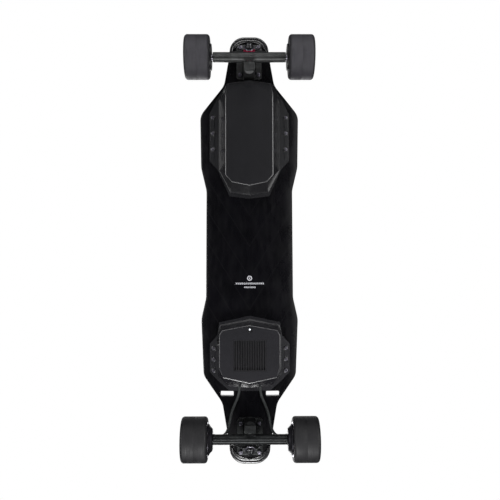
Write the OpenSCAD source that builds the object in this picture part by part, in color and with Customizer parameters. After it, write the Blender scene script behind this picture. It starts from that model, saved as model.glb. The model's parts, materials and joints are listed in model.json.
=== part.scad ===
// Electric skateboard: drop-through outline deck with two underside boxes,
// reverse-kingpin trucks and a pair of hub motors at the tail.
// X is to the right, Y towards the nose, Z up. The wheels stand on z = 0.

/* [Deck] */
// Length from nose to tail over the end bumpers
deck_length = 970; // [960:1:980]
// Thickness of the wooden deck
deck_thickness = 12; // [11:0.5:13]
// Radius of the hollow across the deck
concave_radius = 788; // [760:1:860]
// Thickness of the grip tape
grip_thickness = 0.8; // [0.6:0.1:1.2]

/* [Trucks] */
// Distance between the two axles
wheelbase = 828; // [824:1:832]
// Height from the axle to the truck's mounting face
truck_height = 62; // [62:0.5:64]
// Thickness of the pad between the truck and the deck
riser_thickness = 3; // [3:0.5:8]
// Slope of the steering axis above the ground
steer_angle = 40; // [39:0.5:41]
// Radius of the cast axle bar
bar_r = 11; // [10.5:0.5:11]

/* [Wheels] */
// Diameter of all four tyres
wheel_d = 96; // [94:0.5:100]
// Width of a front tyre
front_tyre_w = 55; // [53:1:57]
// Width of a rear tyre
rear_tyre_w = 56; // [55:1:58]
// Radius of the rounded tyre shoulder
shoulder_r = 6.6; // [4:0.2:7]

/* [Boxes under the deck] */
// Depth of the battery box below the deck
battery_depth = 32; // [31:0.5:34]
// Depth of the motor controller's box below the deck
esc_depth = 28; // [27:0.5:30]
// Wall thickness of both moulded covers
wall = 2.6; // [2.2:0.1:2.8]
// Thickness of the screwed flanges
flange = 3; // [2.5:0.25:3.5]
// Thickness of the foam seal under each flange
seal = 1; // [0.8:0.1:1.2]

/* [Hidden] */

FRONT = 1;
REAR = -1;
LEFT = -1;
RIGHT = 1;
fine = 96;
mid = 48;
coarse = 24;
curve_sides = 1440;
slack = 0.1;

// Heights
axle_z = wheel_d / 2;
under_z = axle_z + truck_height + riser_thickness;
curve_z = under_z + concave_radius;
battery_z = under_z - battery_depth;
esc_z = under_z - esc_depth;
stretch = deck_length / 970;

// Corners of half of the deck's outline, nose first: x, y and the corner's radius
deck_corners = [[45.5, 485, 33], [44.8, 447, 60], [57.8, 373, 40], [113, 305, 35], [110.8, 183, 60],
    [98.2, 130, 50], [99, -115, 50], [109.8, -163, 60], [104.5, -290, 30], [61.8, -351, 45],
    [45.8, -447, 60], [45.2, -485, 34]];
bumper_edge = 4;
bumper_lip = 1.6;
bumper_reach = 13;
bumper_inner_r = 47;
bumper_span = 46;
slot_corners = [[14.5, 5.5, 2], [14.5, -5.5, 2], [-14.5, -5.5, 2], [-14.5, 5.5, 2]];
slot_x = 51;
slot_y = -329.5;

// Half outlines of the two boxes: x and y from the front point to the back point
battery_base = [[0, 378], [52, 371], [73, 335], [73, 180], [44, 118], [0, 112]];
battery_floor = [[0, 374], [50, 367], [54, 345], [54, 160], [40, 145], [0, 137]];
battery_flange = [[0, 380], [54, 373], [76, 337], [91, 306], [91, 198], [72, 176], [45, 116], [0, 110]];
battery_ridge = 1.5;
ledge = 5;
esc_base = [[0, -157], [68, -172], [72, -190], [72, -295], [45, -320], [0, -321]];
esc_floor = [[0, -175], [61, -186], [68, -196], [68, -269], [60, -290], [0, -303]];
esc_flange = [[0, -155], [69, -170], [73, -199], [90, -218], [90, -281], [71, -301], [46, -322], [0, -323]];
battery_screws = [[83, 298], [83, 261], [83, 224]];
esc_screws = [[81, -228], [81, -253], [81, -278]];

// Battery: rows of round cells
cell_d = 21.2;
cell_l = 70;
cell_pitch = 21.5;
cells_across = 4;
cell_rows = 3;
row_pitch = 72;
cell_y0 = 151;
holder_grip = 5;
holder_gap = row_pitch - cell_l;
bms_y = 138;
bms_z = 12.4;
board_t = 1.6;

// Motor controller
sink_w = 73;
sink_l = 68;
sink_y = -241;
sink_fins = 14;
fin_depth = 5;
board_z = esc_z + 16;
button_y = -184;
button_r = 5.5;
port_y = -215;
port_z = under_z - 15;
port_x = 71.5;

// Truck geometry, measured from the axle: outwards along the board, and up
rake = 8;
reach = 25;
ring_o = reach * cos(steer_angle) - rake * sin(steer_angle);
ring_h = reach * sin(steer_angle) + rake * cos(steer_angle);
ring_r = 19;
ring_t = 10;
bushing_r = 13.4;
board_bushing = [3.5, 18];
road_bushing = [-3.5, -16];
washer_t = 1.5;
kingpin_r = 5;
kingpin_head = [28, 34];
nut_t = 7.5;
ball_y = -49;
plate_o = [-32, 49];
plate_w = 58;
plate_t = 8;
bolt_x = 20.65;
bolt_o = [-21, 42.5];
bar_half = 80;

// Wheels, measured outwards from the board's middle plane
front_inner = 86;
rear_inner = 90.5;
core_r = 30;
can_r = 36;
bearing_u = [88, 118];
bearing_t = 7;
motor_u = [96, 128];
motor_bearing_u = [84, 122];
magnets = 14;
teeth = 12;

// Route of the right motor cable, from the controller's box to the motor, z from the deck's underside
cable_d = 6;
cable_route = [[23.5, -308, -3], [23.5, -318, -3.1], [24.6, -328, -3], [27.8, -338.5, -2.9],
    [32.2, -349, -2.8], [36.4, -359, -2.7], [40, -369, -2.7], [42.8, -379, -3.3], [44.8, -388, -5.5],
    [46.3, -396, -9.5], [48, -402.5, -15.5], [50.5, -407.5, -22.5], [54, -411, -29.5], [58.5, -413, -35],
    [64, -413.8, -38.2], [69.5, -414, -38.8], [74.6, -414.1, -39.2]];
gland_at = [76, 0, 25.8];
gland_l = 12;
// Route of the lead inside the deck, between the two boxes, z from the deck's underside
lead_d = 4;
lead_route = [[0, 142, -5], [0, 141, -1], [0, 138, 3.5], [0, 132, 5.7], [0, 124, 6],
    [0, 80, 6], [0, 30, 6], [0, -30, 6], [0, -90, 6], [0, -150, 6], [0, -178, 6],
    [0, -186, 5.7], [0, -192, 3.5], [0, -195, -1], [0, -196, -5]];
lead_gap = 3;

// ---- Helpers ----

function unit(v) = v / norm(v);
function flip(points) = [for (i = [len(points) - 1:-1:0]) [-points[i].x, points[i].y]];
function both(points) = concat(points, flip(points));

// A corner [x, y, radius] replaced by the arc that rounds it
function arc_of(before, corner, after) =
    let (p = [corner.x, corner.y],
        u = unit([before.x, before.y] - p),
        v = unit([after.x, after.y] - p),
        half = acos(u * v) / 2,
        c = p + unit(u + v) * corner[2] / sin(half),
        start = p + u * corner[2] / tan(half) - c,
        turn = (u.x * v.y - u.y * v.x > 0 ? -1 : 1) * (180 - 2 * half),
        n = max(2, ceil(abs(turn) / 12)))
    [for (i = [0:n]) let (a = turn * i / n)
        c + [start.x * cos(a) - start.y * sin(a), start.x * sin(a) + start.y * cos(a)]];

// A closed outline whose corners are [x, y, radius]
function rounded(corners) = [for (i = [0:len(corners) - 1])
    each corners[i][2] == 0 ? [[corners[i].x, corners[i].y]] :
        arc_of(corners[(i + len(corners) - 1) % len(corners)], corners[i], corners[(i + 1) % len(corners)])];

// The outline of a truck's baseplate and riser
function plate_outline() = rounded([
    [plate_w / 2, plate_o[1], 9], [plate_w / 2, plate_o[0], 9],
    [-plate_w / 2, plate_o[0], 9], [-plate_w / 2, plate_o[1], 9]]);

// The whole deck outline, drawn in by a margin
function deck_outline(margin) =
    let (half = [for (c = deck_corners)
            [c.x - margin, c.y * stretch - (abs(c.y) == 485 ? sign(c.y) * margin : 0), c[2]]],
        other = [for (i = [len(half) - 1:-1:0]) [-half[i].x, half[i].y, half[i][2]]])
    rounded(concat(half, other));

// A box outline drawn in by a margin towards its middle
function drawn_in(points, margin) =
    let (front = points[0].y, back = points[len(points) - 1].y, middle = (front + back) / 2,
        wide = max([for (p = points) p.x]), long = (front - back) / 2)
    [for (p = points)
        [p.x * (wide - margin) / wide, middle + (p.y - middle) * (long - margin) / long]];

// A tube along a route, as rings of points about each point of the route
module tube(route, d, sides = 8) {
    n = len(route);
    rings = [for (i = [0:n - 1]) let (
            t = unit(route[min(i + 1, n - 1)] - route[max(i - 1, 0)]),
            a = unit(cross(t, [1, 0, 0])), b = cross(t, a))
        for (k = [0:sides - 1])
            route[i] + d / 2 * (a * cos(360 * k / sides) + b * sin(360 * k / sides))];
    walls = [for (i = [0:n - 2], k = [0:sides - 1]) let (m = (k + 1) % sides)
        each [[i * sides + k, (i + 1) * sides + k, (i + 1) * sides + m],
            [i * sides + k, (i + 1) * sides + m, i * sides + m]]];
    polyhedron(rings, concat(walls, [[for (k = [0:sides - 1]) k],
        [for (k = [sides - 1:-1:0]) (n - 1) * sides + k]]));
}

// A curved layer that follows the deck, between two distances below its underside
module layer(above, below) {
    translate([0, deck_length, curve_z]) rotate([90, 0, 0])
        linear_extrude(2 * deck_length) difference() {
            circle(r = concave_radius + below, $fn = curve_sides);
            circle(r = concave_radius + above, $fn = curve_sides);
        }
}

// Everything on the deck's side of a surface that far below its underside
module deck_side(below) {
    translate([0, deck_length, curve_z]) rotate([90, 0, 0])
        linear_extrude(2 * deck_length) circle(r = concave_radius + below, $fn = curve_sides);
}

// Children stand on the deck's underside at x and y, square to its surface
module on_deck(x, y) {
    translate([0, y, curve_z]) rotate([0, -asin(x / concave_radius), 0])
        translate([0, 0, -concave_radius]) children();
}

// Children repeated at each point and its mirror image across the middle
module at_pairs(points) {
    for (p = points, side = [LEFT, RIGHT]) on_deck(side * p.x, p.y) children();
}

// Children in the frame of one truck: its axle on X, outwards is +Y
module at_axle(end) {
    translate([0, end * wheelbase / 2, axle_z]) rotate([0, 0, end > 0 ? 0 : 180]) children();
}

// Children in the frame of the truck's ring: Y is the steering axis, Z the kingpin
module at_ring() {
    translate([0, ring_o, ring_h]) rotate([steer_angle, 0, 0]) children();
}

// Children turned from Z onto the left or right stretch of an axle
module along_axle(side) {
    rotate([0, side * 90, 0]) children();
}

// A solid of revolution whose profile is [radius, distance] points
module turned(profile, sides = fine) {
    rotate_extrude($fn = sides) polygon(profile);
}

// A ring on the Z axis between two heights
module ring(r_in, r_out, z, sides = mid) {
    translate([0, 0, min(z)]) difference() {
        cylinder(h = abs(z[1] - z[0]), r = r_out, $fn = sides);
        translate([0, 0, -1]) cylinder(h = abs(z[1] - z[0]) + 2, r = r_in, $fn = sides);
    }
}

// A hexagonal nut with a round bore, between two heights on the Z axis
module nut(r_in, r_out, z) {
    translate([0, 0, z[0]]) difference() {
        cylinder(h = z[1] - z[0], r = r_out, $fn = 6);
        translate([0, 0, -1]) cylinder(h = z[1] - z[0] + 2, r = r_in, $fn = fine);
    }
}

// ---- Deck and what is fixed to it ----

// The plan of one end bumper: the outline's tip outside a round inner edge
module crescent(end) {
    tip = end * deck_length / 2;
    difference() {
        intersection() {
            polygon(deck_outline(0));
            translate([-60, min(tip, tip - end * bumper_span)]) square([120, bumper_span]);
        }
        translate([0, tip - end * (bumper_reach + bumper_inner_r)]) circle(r = bumper_inner_r, $fn = fine);
    }
}

// The wooden plank, with a narrower tongue inside each bumper
module plank() {
    intersection() {
        translate([0, 0, under_z - 10]) linear_extrude(deck_thickness + 30) difference() {
            polygon(deck_outline(0));
            for (end = [FRONT, REAR]) difference() {
                crescent(end);
                polygon(deck_outline(bumper_edge));
            }
        }
        layer(-deck_thickness, 0);
    }
}

module deck_bolt_places() {
    for (end = [FRONT, REAR], x = [-bolt_x, bolt_x], o = bolt_o)
        translate([x, end * (wheelbase / 2 + o), 0]) children();
}

module deck() {
    color([0.05, 0.05, 0.06]) difference() {
        plank();
        deck_bolt_places() translate([0, 0, under_z - 5]) cylinder(h = 30, r = 2.7, $fn = mid);
        deck_bolt_places() translate([0, 0, under_z + deck_thickness - 2.6])
            cylinder(h = 4.2, r1 = 2.6, r2 = 6.8, $fn = mid);
        for (side = [LEFT, RIGHT]) translate([side * slot_x, slot_y, under_z - 5])
            linear_extrude(30) polygon(rounded(slot_corners));
        at_pairs(concat(battery_screws, esc_screws)) translate([0, 0, -1])
            cylinder(h = 8, r = 1.5, $fn = coarse);
        translate([-8, -200, under_z + 3]) cube([16, 346, 6]);
        translate([-8, 120, under_z - 5]) cube([16, 26, 10]);
        translate([-8, -200, under_z - 5]) cube([16, 26, 10]);
    }
}

module grip_tape() {
    color([0.1, 0.1, 0.1]) difference() {
        intersection() {
            translate([0, 0, under_z]) linear_extrude(deck_thickness + 20)
                polygon(deck_outline(3.5));
            layer(-deck_thickness - grip_thickness, -deck_thickness);
        }
        for (end = [FRONT, REAR]) linear_extrude(300) offset(0.5) crescent(end);
        deck_bolt_places() cylinder(h = 300, r = 7.2, $fn = mid);
        for (side = [LEFT, RIGHT]) translate([side * slot_x, slot_y, 0])
            linear_extrude(300) polygon(rounded(slot_corners));
    }
}

// A guard round the deck's end: an edge and two lips, over the plank's tongue
module bumper(end) {
    difference() {
        intersection() {
            translate([0, 0, under_z - 10]) linear_extrude(deck_thickness + 30) crescent(end);
            layer(-deck_thickness - bumper_lip, bumper_lip);
        }
        plank();
    }
}

module nose_bumper() {
    color([0.06, 0.06, 0.07]) bumper(FRONT);
}

module tail_bumper() {
    color([0.06, 0.06, 0.07]) bumper(REAR);
}

// ---- Boxes under the deck ----

// A cover's outer or inner form: a floor joined to a wider base by sloping sides
module box_form(floor, base, floor_z, ridge = 0) {
    hull() {
        translate([0, 0, under_z + 4]) linear_extrude(4) polygon(both(base));
        translate([0, 0, floor_z]) linear_extrude(0.2) polygon(both(floor));
        if (ridge > 0) translate([-0.5, floor[5].y + 10, floor_z - ridge])
            cube([1, floor[0].y - floor[5].y - 18, 0.2]);
    }
}

module box_cover(floor, base, rim, floor_z, ridge = 0) {
    difference() {
        union() {
            difference() {
                box_form(floor, base, floor_z, ridge);
                box_form(drawn_in(floor, wall), drawn_in(base, wall), floor_z + wall);
                deck_side(seal);
            }
            intersection() {
                translate([0, 0, under_z - 10]) linear_extrude(30) difference() {
                    polygon(both(rim));
                    polygon(both(drawn_in(base, wall + ledge)));
                }
                layer(seal, seal + flange);
            }
        }
        children();
    }
}

module screw_holes(points) {
    at_pairs(points) translate([0, 0, -10]) cylinder(h = 12, r = 2.2, $fn = coarse);
}

module battery_cover() {
    color([0.16, 0.16, 0.17]) union() {
        box_cover(battery_floor, battery_base, battery_flange, battery_z, battery_ridge)
            screw_holes(battery_screws);
        for (x = [-26, 26]) translate([x, bms_y + 6, battery_z + wall - 0.5])
            cylinder(h = bms_z + 0.5, r = 2.5, $fn = coarse);
    }
}

module esc_cover() {
    color([0.24, 0.23, 0.24]) difference() {
        union() {
            box_cover(esc_floor, esc_base, esc_flange, esc_z) screw_holes(esc_screws);
            translate([60, port_y, port_z]) rotate([0, 90, 0])
                cylinder(h = port_x - 60, r = 10.5, $fn = mid);
            for (x = [-48, 48]) translate([x, sink_y, esc_z + wall - 0.5])
                cylinder(h = board_z - esc_z - wall + 0.5, r = 2.5, $fn = coarse);
        }
        translate([-sink_w / 2 - slack, sink_y - sink_l / 2 - slack, esc_z - 5])
            cube([sink_w + 2 * slack, sink_l + 2 * slack, 15]);
        translate([0, button_y, esc_z - 5]) cylinder(h = 12, r = 7, $fn = mid);
        translate([40, port_y, port_z]) rotate([0, 90, 0]) cylinder(h = 50, r = 8, $fn = mid);
        for (side = [LEFT, RIGHT]) translate([side * 23.5, -330, 110]) rotate([-90, 0, 0])
            cylinder(h = 24, r = cable_d / 2 + 0.3, $fn = coarse);
    }
}

module cover_seals() {
    color([0.08, 0.08, 0.08]) difference() {
        intersection() {
            translate([0, 0, under_z - 10]) linear_extrude(30) {
                difference() {
                    polygon(both(battery_flange));
                    polygon(both(drawn_in(battery_base, wall + ledge)));
                }
                difference() {
                    polygon(both(esc_flange));
                    polygon(both(drawn_in(esc_base, wall + ledge)));
                }
            }
            layer(0, seal);
        }
        screw_holes(concat(battery_screws, esc_screws));
        for (side = [LEFT, RIGHT]) translate([side * 23.5, -330, 110]) rotate([-90, 0, 0])
            cylinder(h = 24, r = cable_d / 2 + 0.3, $fn = coarse);
    }
}

module cover_screws() {
    head = seal + flange;
    color([0.12, 0.12, 0.12]) at_pairs(concat(battery_screws, esc_screws)) difference() {
        union() {
            translate([0, 0, -head - 2.2]) cylinder(h = 2.2, r = 3.7, $fn = mid);
            translate([0, 0, -head - 0.1]) cylinder(h = head + 7, r = 1.5, $fn = coarse);
        }
        translate([0, 0, -head - 3.2]) cylinder(h = 2.4, r = 1.45, $fn = 6);
    }
}

module cell_places() {
    for (row = [0:cell_rows - 1], i = [0:cells_across - 1])
        translate([(i - (cells_across - 1) / 2) * cell_pitch, cell_y0 + row * row_pitch,
            battery_z + wall + cell_d / 2 + 0.4]) rotate([-90, 0, 0]) children();
}

module battery_cells() {
    color([0.2, 0.45, 0.3]) cell_places() {
        cylinder(h = cell_l - 1, r = cell_d / 2, $fn = mid);
        translate([0, 0, cell_l - 1.1]) cylinder(h = 1.1, r = 3, $fn = coarse);
    }
}

// A comb of bores that holds one end of each row, or two rows at once
module cell_holder(y, long) {
    span = cells_across * cell_pitch;
    translate([-span / 2 + 2, y, battery_z + wall]) cube([span - 4, long, cell_d + 0.8]);
}

module cell_holders() {
    color([0.85, 0.85, 0.82]) difference() {
        union() {
            cell_holder(cell_y0, holder_grip);
            for (row = [1:cell_rows - 1])
                cell_holder(cell_y0 + row * row_pitch - holder_gap - holder_grip,
                    2 * holder_grip + holder_gap);
            cell_holder(cell_y0 + (cell_rows - 1) * row_pitch + cell_l - holder_grip, holder_grip);
        }
        cell_places() translate([0, 0, -10]) cylinder(h = cell_l + 20, r = cell_d / 2 + 0.05, $fn = mid);
    }
}

module bms_board() {
    z = battery_z + wall + bms_z;
    color([0.1, 0.35, 0.2]) union() {
        translate([-32, bms_y, z]) cube([64, 12, board_t]);
        for (x = [-25:10:25]) translate([x - 3, bms_y + 3, z + board_t - 0.1]) cube([6, 8, 2.4]);
    }
}

module heat_sink() {
    fin_pitch = sink_w / (sink_fins - 0.5);
    floor_top = esc_z + wall;
    color([0.2, 0.2, 0.21]) difference() {
        union() {
            translate([-sink_w / 2, sink_y - sink_l / 2, esc_z + 0.3])
                cube([sink_w, sink_l, floor_top + 5.4 - esc_z]);
            translate([-sink_w / 2 - 5, sink_y - sink_l / 2 - 5, floor_top])
                cube([sink_w + 10, sink_l + 10, 5.7]);
        }
        for (i = [0:sink_fins - 2])
            translate([-sink_w / 2 + (i + 0.5) * fin_pitch, sink_y - sink_l / 2 + 1.5, esc_z - 1])
                cube([fin_pitch / 2, sink_l - 3, fin_depth + 1.3]);
    }
}

module esc_board() {
    color([0.1, 0.35, 0.2]) union() {
        translate([-50, -278, board_z]) cube([100, 76, board_t]);
        for (x = [-40:10:40]) translate([x - 4, -262, board_z - 6.2]) cube([8, 12, 6.3]);
        for (x = [-36, -18, 0, 18, 36]) translate([x, -212, board_z + 5.6]) rotate([90, 0, 0])
            cylinder(h = 20, r = 4.5, $fn = 32);
    }
}

module power_lead() {
    color([0.6, 0.1, 0.1]) for (x = [-lead_gap, lead_gap])
        translate([x, 0, under_z]) tube(lead_route, lead_d);
}

module charge_port() {
    color([0.12, 0.12, 0.12]) translate([0, port_y, port_z]) rotate([0, 90, 0]) {
        ring(2.8, 7.95, [port_x - 18, port_x]);
        translate([0, 0, port_x - 20]) cylinder(h = 2.1, r = 7.95, $fn = mid);
        translate([0, 0, port_x - 18.1]) cylinder(h = 8, r = 1, $fn = coarse);
    }
}

module charge_cap() {
    color([0.1, 0.1, 0.1]) translate([0, port_y, port_z]) rotate([0, 90, 0]) {
        translate([0, 0, port_x + 0.3]) cylinder(h = 1.8, r = 9, $fn = mid);
        translate([0, 0, port_x - 5]) cylinder(h = 5.4, r = 2.7, $fn = mid);
        translate([7, -2.5, port_x + 0.3]) cube([6, 5, 1.8]);
    }
}

module button_housing() {
    color([0.1, 0.1, 0.1]) translate([0, button_y, esc_z]) {
        ring(button_r + 0.4, 6.95, [0.2, 10]);
        intersection() {
            ring(button_r + 0.4, 8.5, [wall, wall + 2]);
            translate([-10, -4, 0]) cube([20, 8, 10]);
        }
        translate([0, 0, 9.9]) cylinder(h = 1.5, r = 6.95, $fn = mid);
    }
}

module power_button() {
    color([0.15, 0.15, 0.16]) translate([0, button_y, esc_z]) ring(1.9, button_r, [0.4, 6]);
}

module status_light() {
    color([0.95, 0.95, 1]) translate([0, button_y, esc_z + 0.5]) cylinder(h = 9.4, r = 1.6, $fn = 32);
}

module motor_cable(side) {
    color([0.08, 0.08, 0.08]) translate([0, 0, under_z])
        tube([for (p = cable_route) [side * p.x, p.y, p.z]], cable_d);
}

module left_motor_cable() {
    motor_cable(LEFT);
}

module right_motor_cable() {
    motor_cable(RIGHT);
}

module deck_bolts() {
    plate_under = under_z - riser_thickness - plate_t;
    color([0.35, 0.35, 0.36]) deck_bolt_places() {
        translate([0, 0, plate_under - 6])
            cylinder(h = deck_thickness + riser_thickness + plate_t + 5.5, r = 2.5, $fn = mid);
        translate([0, 0, under_z + deck_thickness - 2.2]) cylinder(h = 2.5, r1 = 2.5, r2 = 5, $fn = mid);
        translate([0, 0, plate_under - 5]) cylinder(h = 5, r = 4.6, $fn = 6);
    }
}

// ---- Trucks ----

module riser() {
    difference() {
        intersection() {
            translate([0, 0, truck_height]) linear_extrude(riser_thickness + 3) polygon(plate_outline());
            translate([0, 0, -axle_z]) layer(0, 20);
        }
        bolt_holes();
    }
}

module bolt_holes() {
    for (x = [-bolt_x, bolt_x], o = bolt_o) translate([x, o, 30]) cylinder(h = 60, r = 2.7, $fn = mid);
}

module baseplate() {
    leg = [[-32, 58], [-32, 40], [-36, 5], [-34, -20], [-18, -20], [-25, 5], [-22, 35], [-16, 58]];
    difference() {
        union() {
            translate([0, 0, truck_height - plate_t]) linear_extrude(plate_t) polygon(plate_outline());
            intersection() {
                at_ring() translate([0, 0, board_bushing[1] + washer_t])
                    cylinder(h = 40, r = 15, $fn = fine);
                translate([-50, -50, 0]) cube([100, 120, truck_height - 0.5]);
            }
            translate([-12, 0, 0]) rotate([90, 0, 90]) linear_extrude(24) polygon(leg);
            intersection() {
                at_ring() translate([0, -44, 0]) rotate([90, 0, 0]) cylinder(h = 17, r = 12, $fn = fine);
                translate([-50, -60, -20]) cube([100, 100, 60]);
            }
            // Gussets from the kingpin boss to the outer bolts
            for (side = [LEFT, RIGHT]) hull() {
                translate([side * 8, 14, truck_height - plate_t - 8]) cylinder(h = 9, r = 5, $fn = coarse);
                translate([side * 14, 34, truck_height - plate_t - 1]) cylinder(h = 2, r = 5, $fn = coarse);
            }
        }
        at_ring() cylinder(h = 60, r = kingpin_r + 0.05, $fn = fine);
        at_ring() translate([0, 0, kingpin_head[0]]) cylinder(h = 60, r = 9, $fn = fine);
        at_ring() translate([0, -43, 0]) rotate([90, 0, 0]) cylinder(h = 13.5, r = 7, $fn = fine);
        at_ring() translate([0, -34, 0]) rotate([90, 0, 0]) cylinder(h = 10, r = 11, $fn = fine);
        bolt_holes();
    }
}

module pivot_cup() {
    at_ring() difference() {
        union() {
            translate([0, -43.5, 0]) rotate([90, 0, 0]) cylinder(h = 13, r = 6.95, $fn = fine);
            translate([0, -41.8, 0]) rotate([90, 0, 0]) cylinder(h = 2.2, r = 10.5, $fn = fine);
        }
        translate([0, -40, 0]) rotate([90, 0, 0]) cylinder(h = 9, r = 5.6, $fn = fine);
        translate([0, ball_y, 0]) sphere(r = 5.6, $fn = mid);
    }
}

module kingpin() {
    at_ring() {
        translate([0, 0, -28]) cylinder(h = 28 + kingpin_head[0] + 0.1, r = kingpin_r, $fn = fine);
        translate([0, 0, kingpin_head[0]]) cylinder(h = kingpin_head[1] - kingpin_head[0], r = 8.7, $fn = 6);
    }
}

// A urethane bushing between two heights on the kingpin, waisted at its free end
module bushing(z, free_r) {
    at_ring() difference() {
        mirror([0, 0, z[1] < 0 ? 1 : 0]) turned([[kingpin_r + 0.1, abs(z[0])], [bushing_r, abs(z[0])],
            [bushing_r, abs(z[0]) + 5], [bushing_r - 0.9, abs(z[0]) + 6.5], [free_r, abs(z[1])],
            [kingpin_r + 0.1, abs(z[1])]]);
    }
}

module bushing_washers() {
    at_ring() {
        ring(kingpin_r, 12.5, [board_bushing[1], board_bushing[1] + washer_t], fine);
        ring(kingpin_r, 12, [road_bushing[1] - washer_t, road_bushing[1]], fine);
    }
}

module kingpin_nut() {
    top = road_bushing[1] - washer_t;
    at_ring() nut(kingpin_r, 9.2, [top - nut_t, top]);
}

// The cast hanger: a bar, a ring on the kingpin, a yoke between them and the pivot's nose
module hanger() {
    difference() {
        union() {
            rotate([0, 90, 0]) cylinder(h = 2 * bar_half, r = bar_r, center = true, $fn = fine);
            at_ring() cylinder(h = ring_t, r = ring_r, center = true, $fn = fine);
            hull() {
                at_ring() cylinder(h = ring_t - 0.4, r = ring_r - 0.4, center = true, $fn = 32);
                rotate([0, 90, 0]) cylinder(h = 86, r = bar_r - 0.6, center = true, $fn = 32);
            }
            hull() {
                rotate([0, 90, 0]) cylinder(h = 30, r = bar_r - 0.8, center = true, $fn = 32);
                at_ring() translate([0, -37, 0]) rotate([90, 0, 0]) cylinder(h = 1, r = 7.4, $fn = 32);
            }
            at_ring() translate([0, -37, 0]) rotate([90, 0, 0]) {
                cylinder(h = 5.5, r1 = 7.2, r2 = 5, $fn = fine);
                cylinder(h = -37 - ball_y, r = 5, $fn = fine);
            }
            at_ring() translate([0, ball_y, 0]) sphere(r = 5, $fn = mid);
        }
        at_ring() cylinder(h = 60, r = 7.5, center = true, $fn = fine);
        at_ring() translate([0, 0, board_bushing[0]]) cylinder(h = 40, r = bushing_r + 0.4, $fn = fine);
        at_ring() translate([0, 0, road_bushing[0] - 40]) cylinder(h = 40, r = bushing_r + 0.4, $fn = fine);
        at_ring() translate([0, 0, -ring_t / 2 - 40]) cylinder(h = 40, r = 16.5, $fn = fine);
        translate([-bar_half + 2, -1.2, -bar_r - 1]) cube([2 * bar_half - 4, 2.4, 2.5]);
        children();
    }
}

module front_riser() {
    color([0.1, 0.1, 0.1]) at_axle(FRONT) riser();
}

module rear_riser() {
    color([0.1, 0.1, 0.1]) at_axle(REAR) riser();
}

module front_baseplate() {
    color([0.4, 0.4, 0.41]) at_axle(FRONT) baseplate();
}

module rear_baseplate() {
    color([0.4, 0.4, 0.41]) at_axle(REAR) baseplate();
}

module front_pivot_cup() {
    color([0.5, 0.1, 0.15]) at_axle(FRONT) pivot_cup();
}

module rear_pivot_cup() {
    color([0.1, 0.1, 0.1]) at_axle(REAR) pivot_cup();
}

module front_kingpin() {
    color([0.6, 0.6, 0.62]) at_axle(FRONT) kingpin();
}

module rear_kingpin() {
    color([0.6, 0.6, 0.62]) at_axle(REAR) kingpin();
}

module front_bushing_board_side() {
    color([0.5, 0.08, 0.15]) at_axle(FRONT) bushing(board_bushing, 12.2);
}

module front_bushing_road_side() {
    color([0.5, 0.08, 0.15]) at_axle(FRONT) bushing(road_bushing, 11);
}

module rear_bushing_board_side() {
    color([0.08, 0.08, 0.08]) at_axle(REAR) bushing(board_bushing, 12.2);
}

module rear_bushing_road_side() {
    color([0.08, 0.08, 0.08]) at_axle(REAR) bushing(road_bushing, 11);
}

module front_bushing_washers() {
    color([0.65, 0.65, 0.66]) at_axle(FRONT) bushing_washers();
}

module rear_bushing_washers() {
    color([0.65, 0.65, 0.66]) at_axle(REAR) bushing_washers();
}

module front_kingpin_nut() {
    color([0.7, 0.7, 0.72]) at_axle(FRONT) kingpin_nut();
}

module rear_kingpin_nut() {
    color([0.7, 0.7, 0.72]) at_axle(REAR) kingpin_nut();
}

module front_hanger() {
    color([0.42, 0.43, 0.43]) at_axle(FRONT) hanger()
        rotate([0, 90, 0]) cylinder(h = 2 * bar_half + 2, r = 4, center = true, $fn = fine);
}

module rear_hanger() {
    color([0.42, 0.43, 0.43]) at_axle(REAR) hanger() for (side = [LEFT, RIGHT])
        along_axle(side) translate([0, 0, bar_half - 20]) cylinder(h = 30, r = 6, $fn = fine);
}

// ---- Front wheels ----

module front_axle() {
    color([0.7, 0.7, 0.72]) at_axle(FRONT) rotate([0, 90, 0])
        cylinder(h = 2 * 134, r = 4, center = true, $fn = fine);
}

module front_axle_nuts() {
    color([0.7, 0.7, 0.72]) at_axle(FRONT) for (side = [LEFT, RIGHT]) along_axle(side)
        nut(4, 7.4, [126.2, 132.5]);
}

module front_inner_rings() {
    in = bearing_u[0];
    out = bearing_u[1];
    color([0.75, 0.75, 0.76]) at_axle(FRONT) for (side = [LEFT, RIGHT]) along_axle(side) {
        ring(4, 6.2, [bar_half, in - 0.4]);
        ring(4, 5.6, [in - 0.4, in + bearing_t]);
        ring(4, 6.2, [in + bearing_t, out]);
        ring(4, 5.6, [out, out + bearing_t + 1.2]);
    }
}

module front_wheel_frame(side) {
    at_axle(FRONT) along_axle(side) children();
}

module tyre(r_in, u, w) {
    turned(rounded([[r_in, u, 0], [wheel_d / 2, u, shoulder_r],
        [wheel_d / 2, u + w, shoulder_r], [r_in, u + w, 0]]));
}

module front_tyre(side) {
    color([0.22, 0.22, 0.22]) front_wheel_frame(side) tyre(core_r, front_inner, front_tyre_w);
}

module front_hub(side) {
    u = front_inner;
    out = u + front_tyre_w - 1;
    step = bearing_u[1] + bearing_t + 2;
    color([0.1, 0.1, 0.1]) front_wheel_frame(side) difference() {
        turned([[11, u - 3.5], [28.5, u - 3.5], [28.5, u + 0.4], [core_r, u + 0.4], [core_r, out],
            [27, out], [25, step], [11, step], [11, bearing_u[1]], [9, bearing_u[1]],
            [9, bearing_u[0] + bearing_t], [11, bearing_u[0] + bearing_t]]);
        for (i = [0:4]) rotate([0, 0, i * 72]) translate([18.5, 0, step - 8])
            cylinder(h = 20, r = 3.6, $fn = mid);
    }
}

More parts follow.
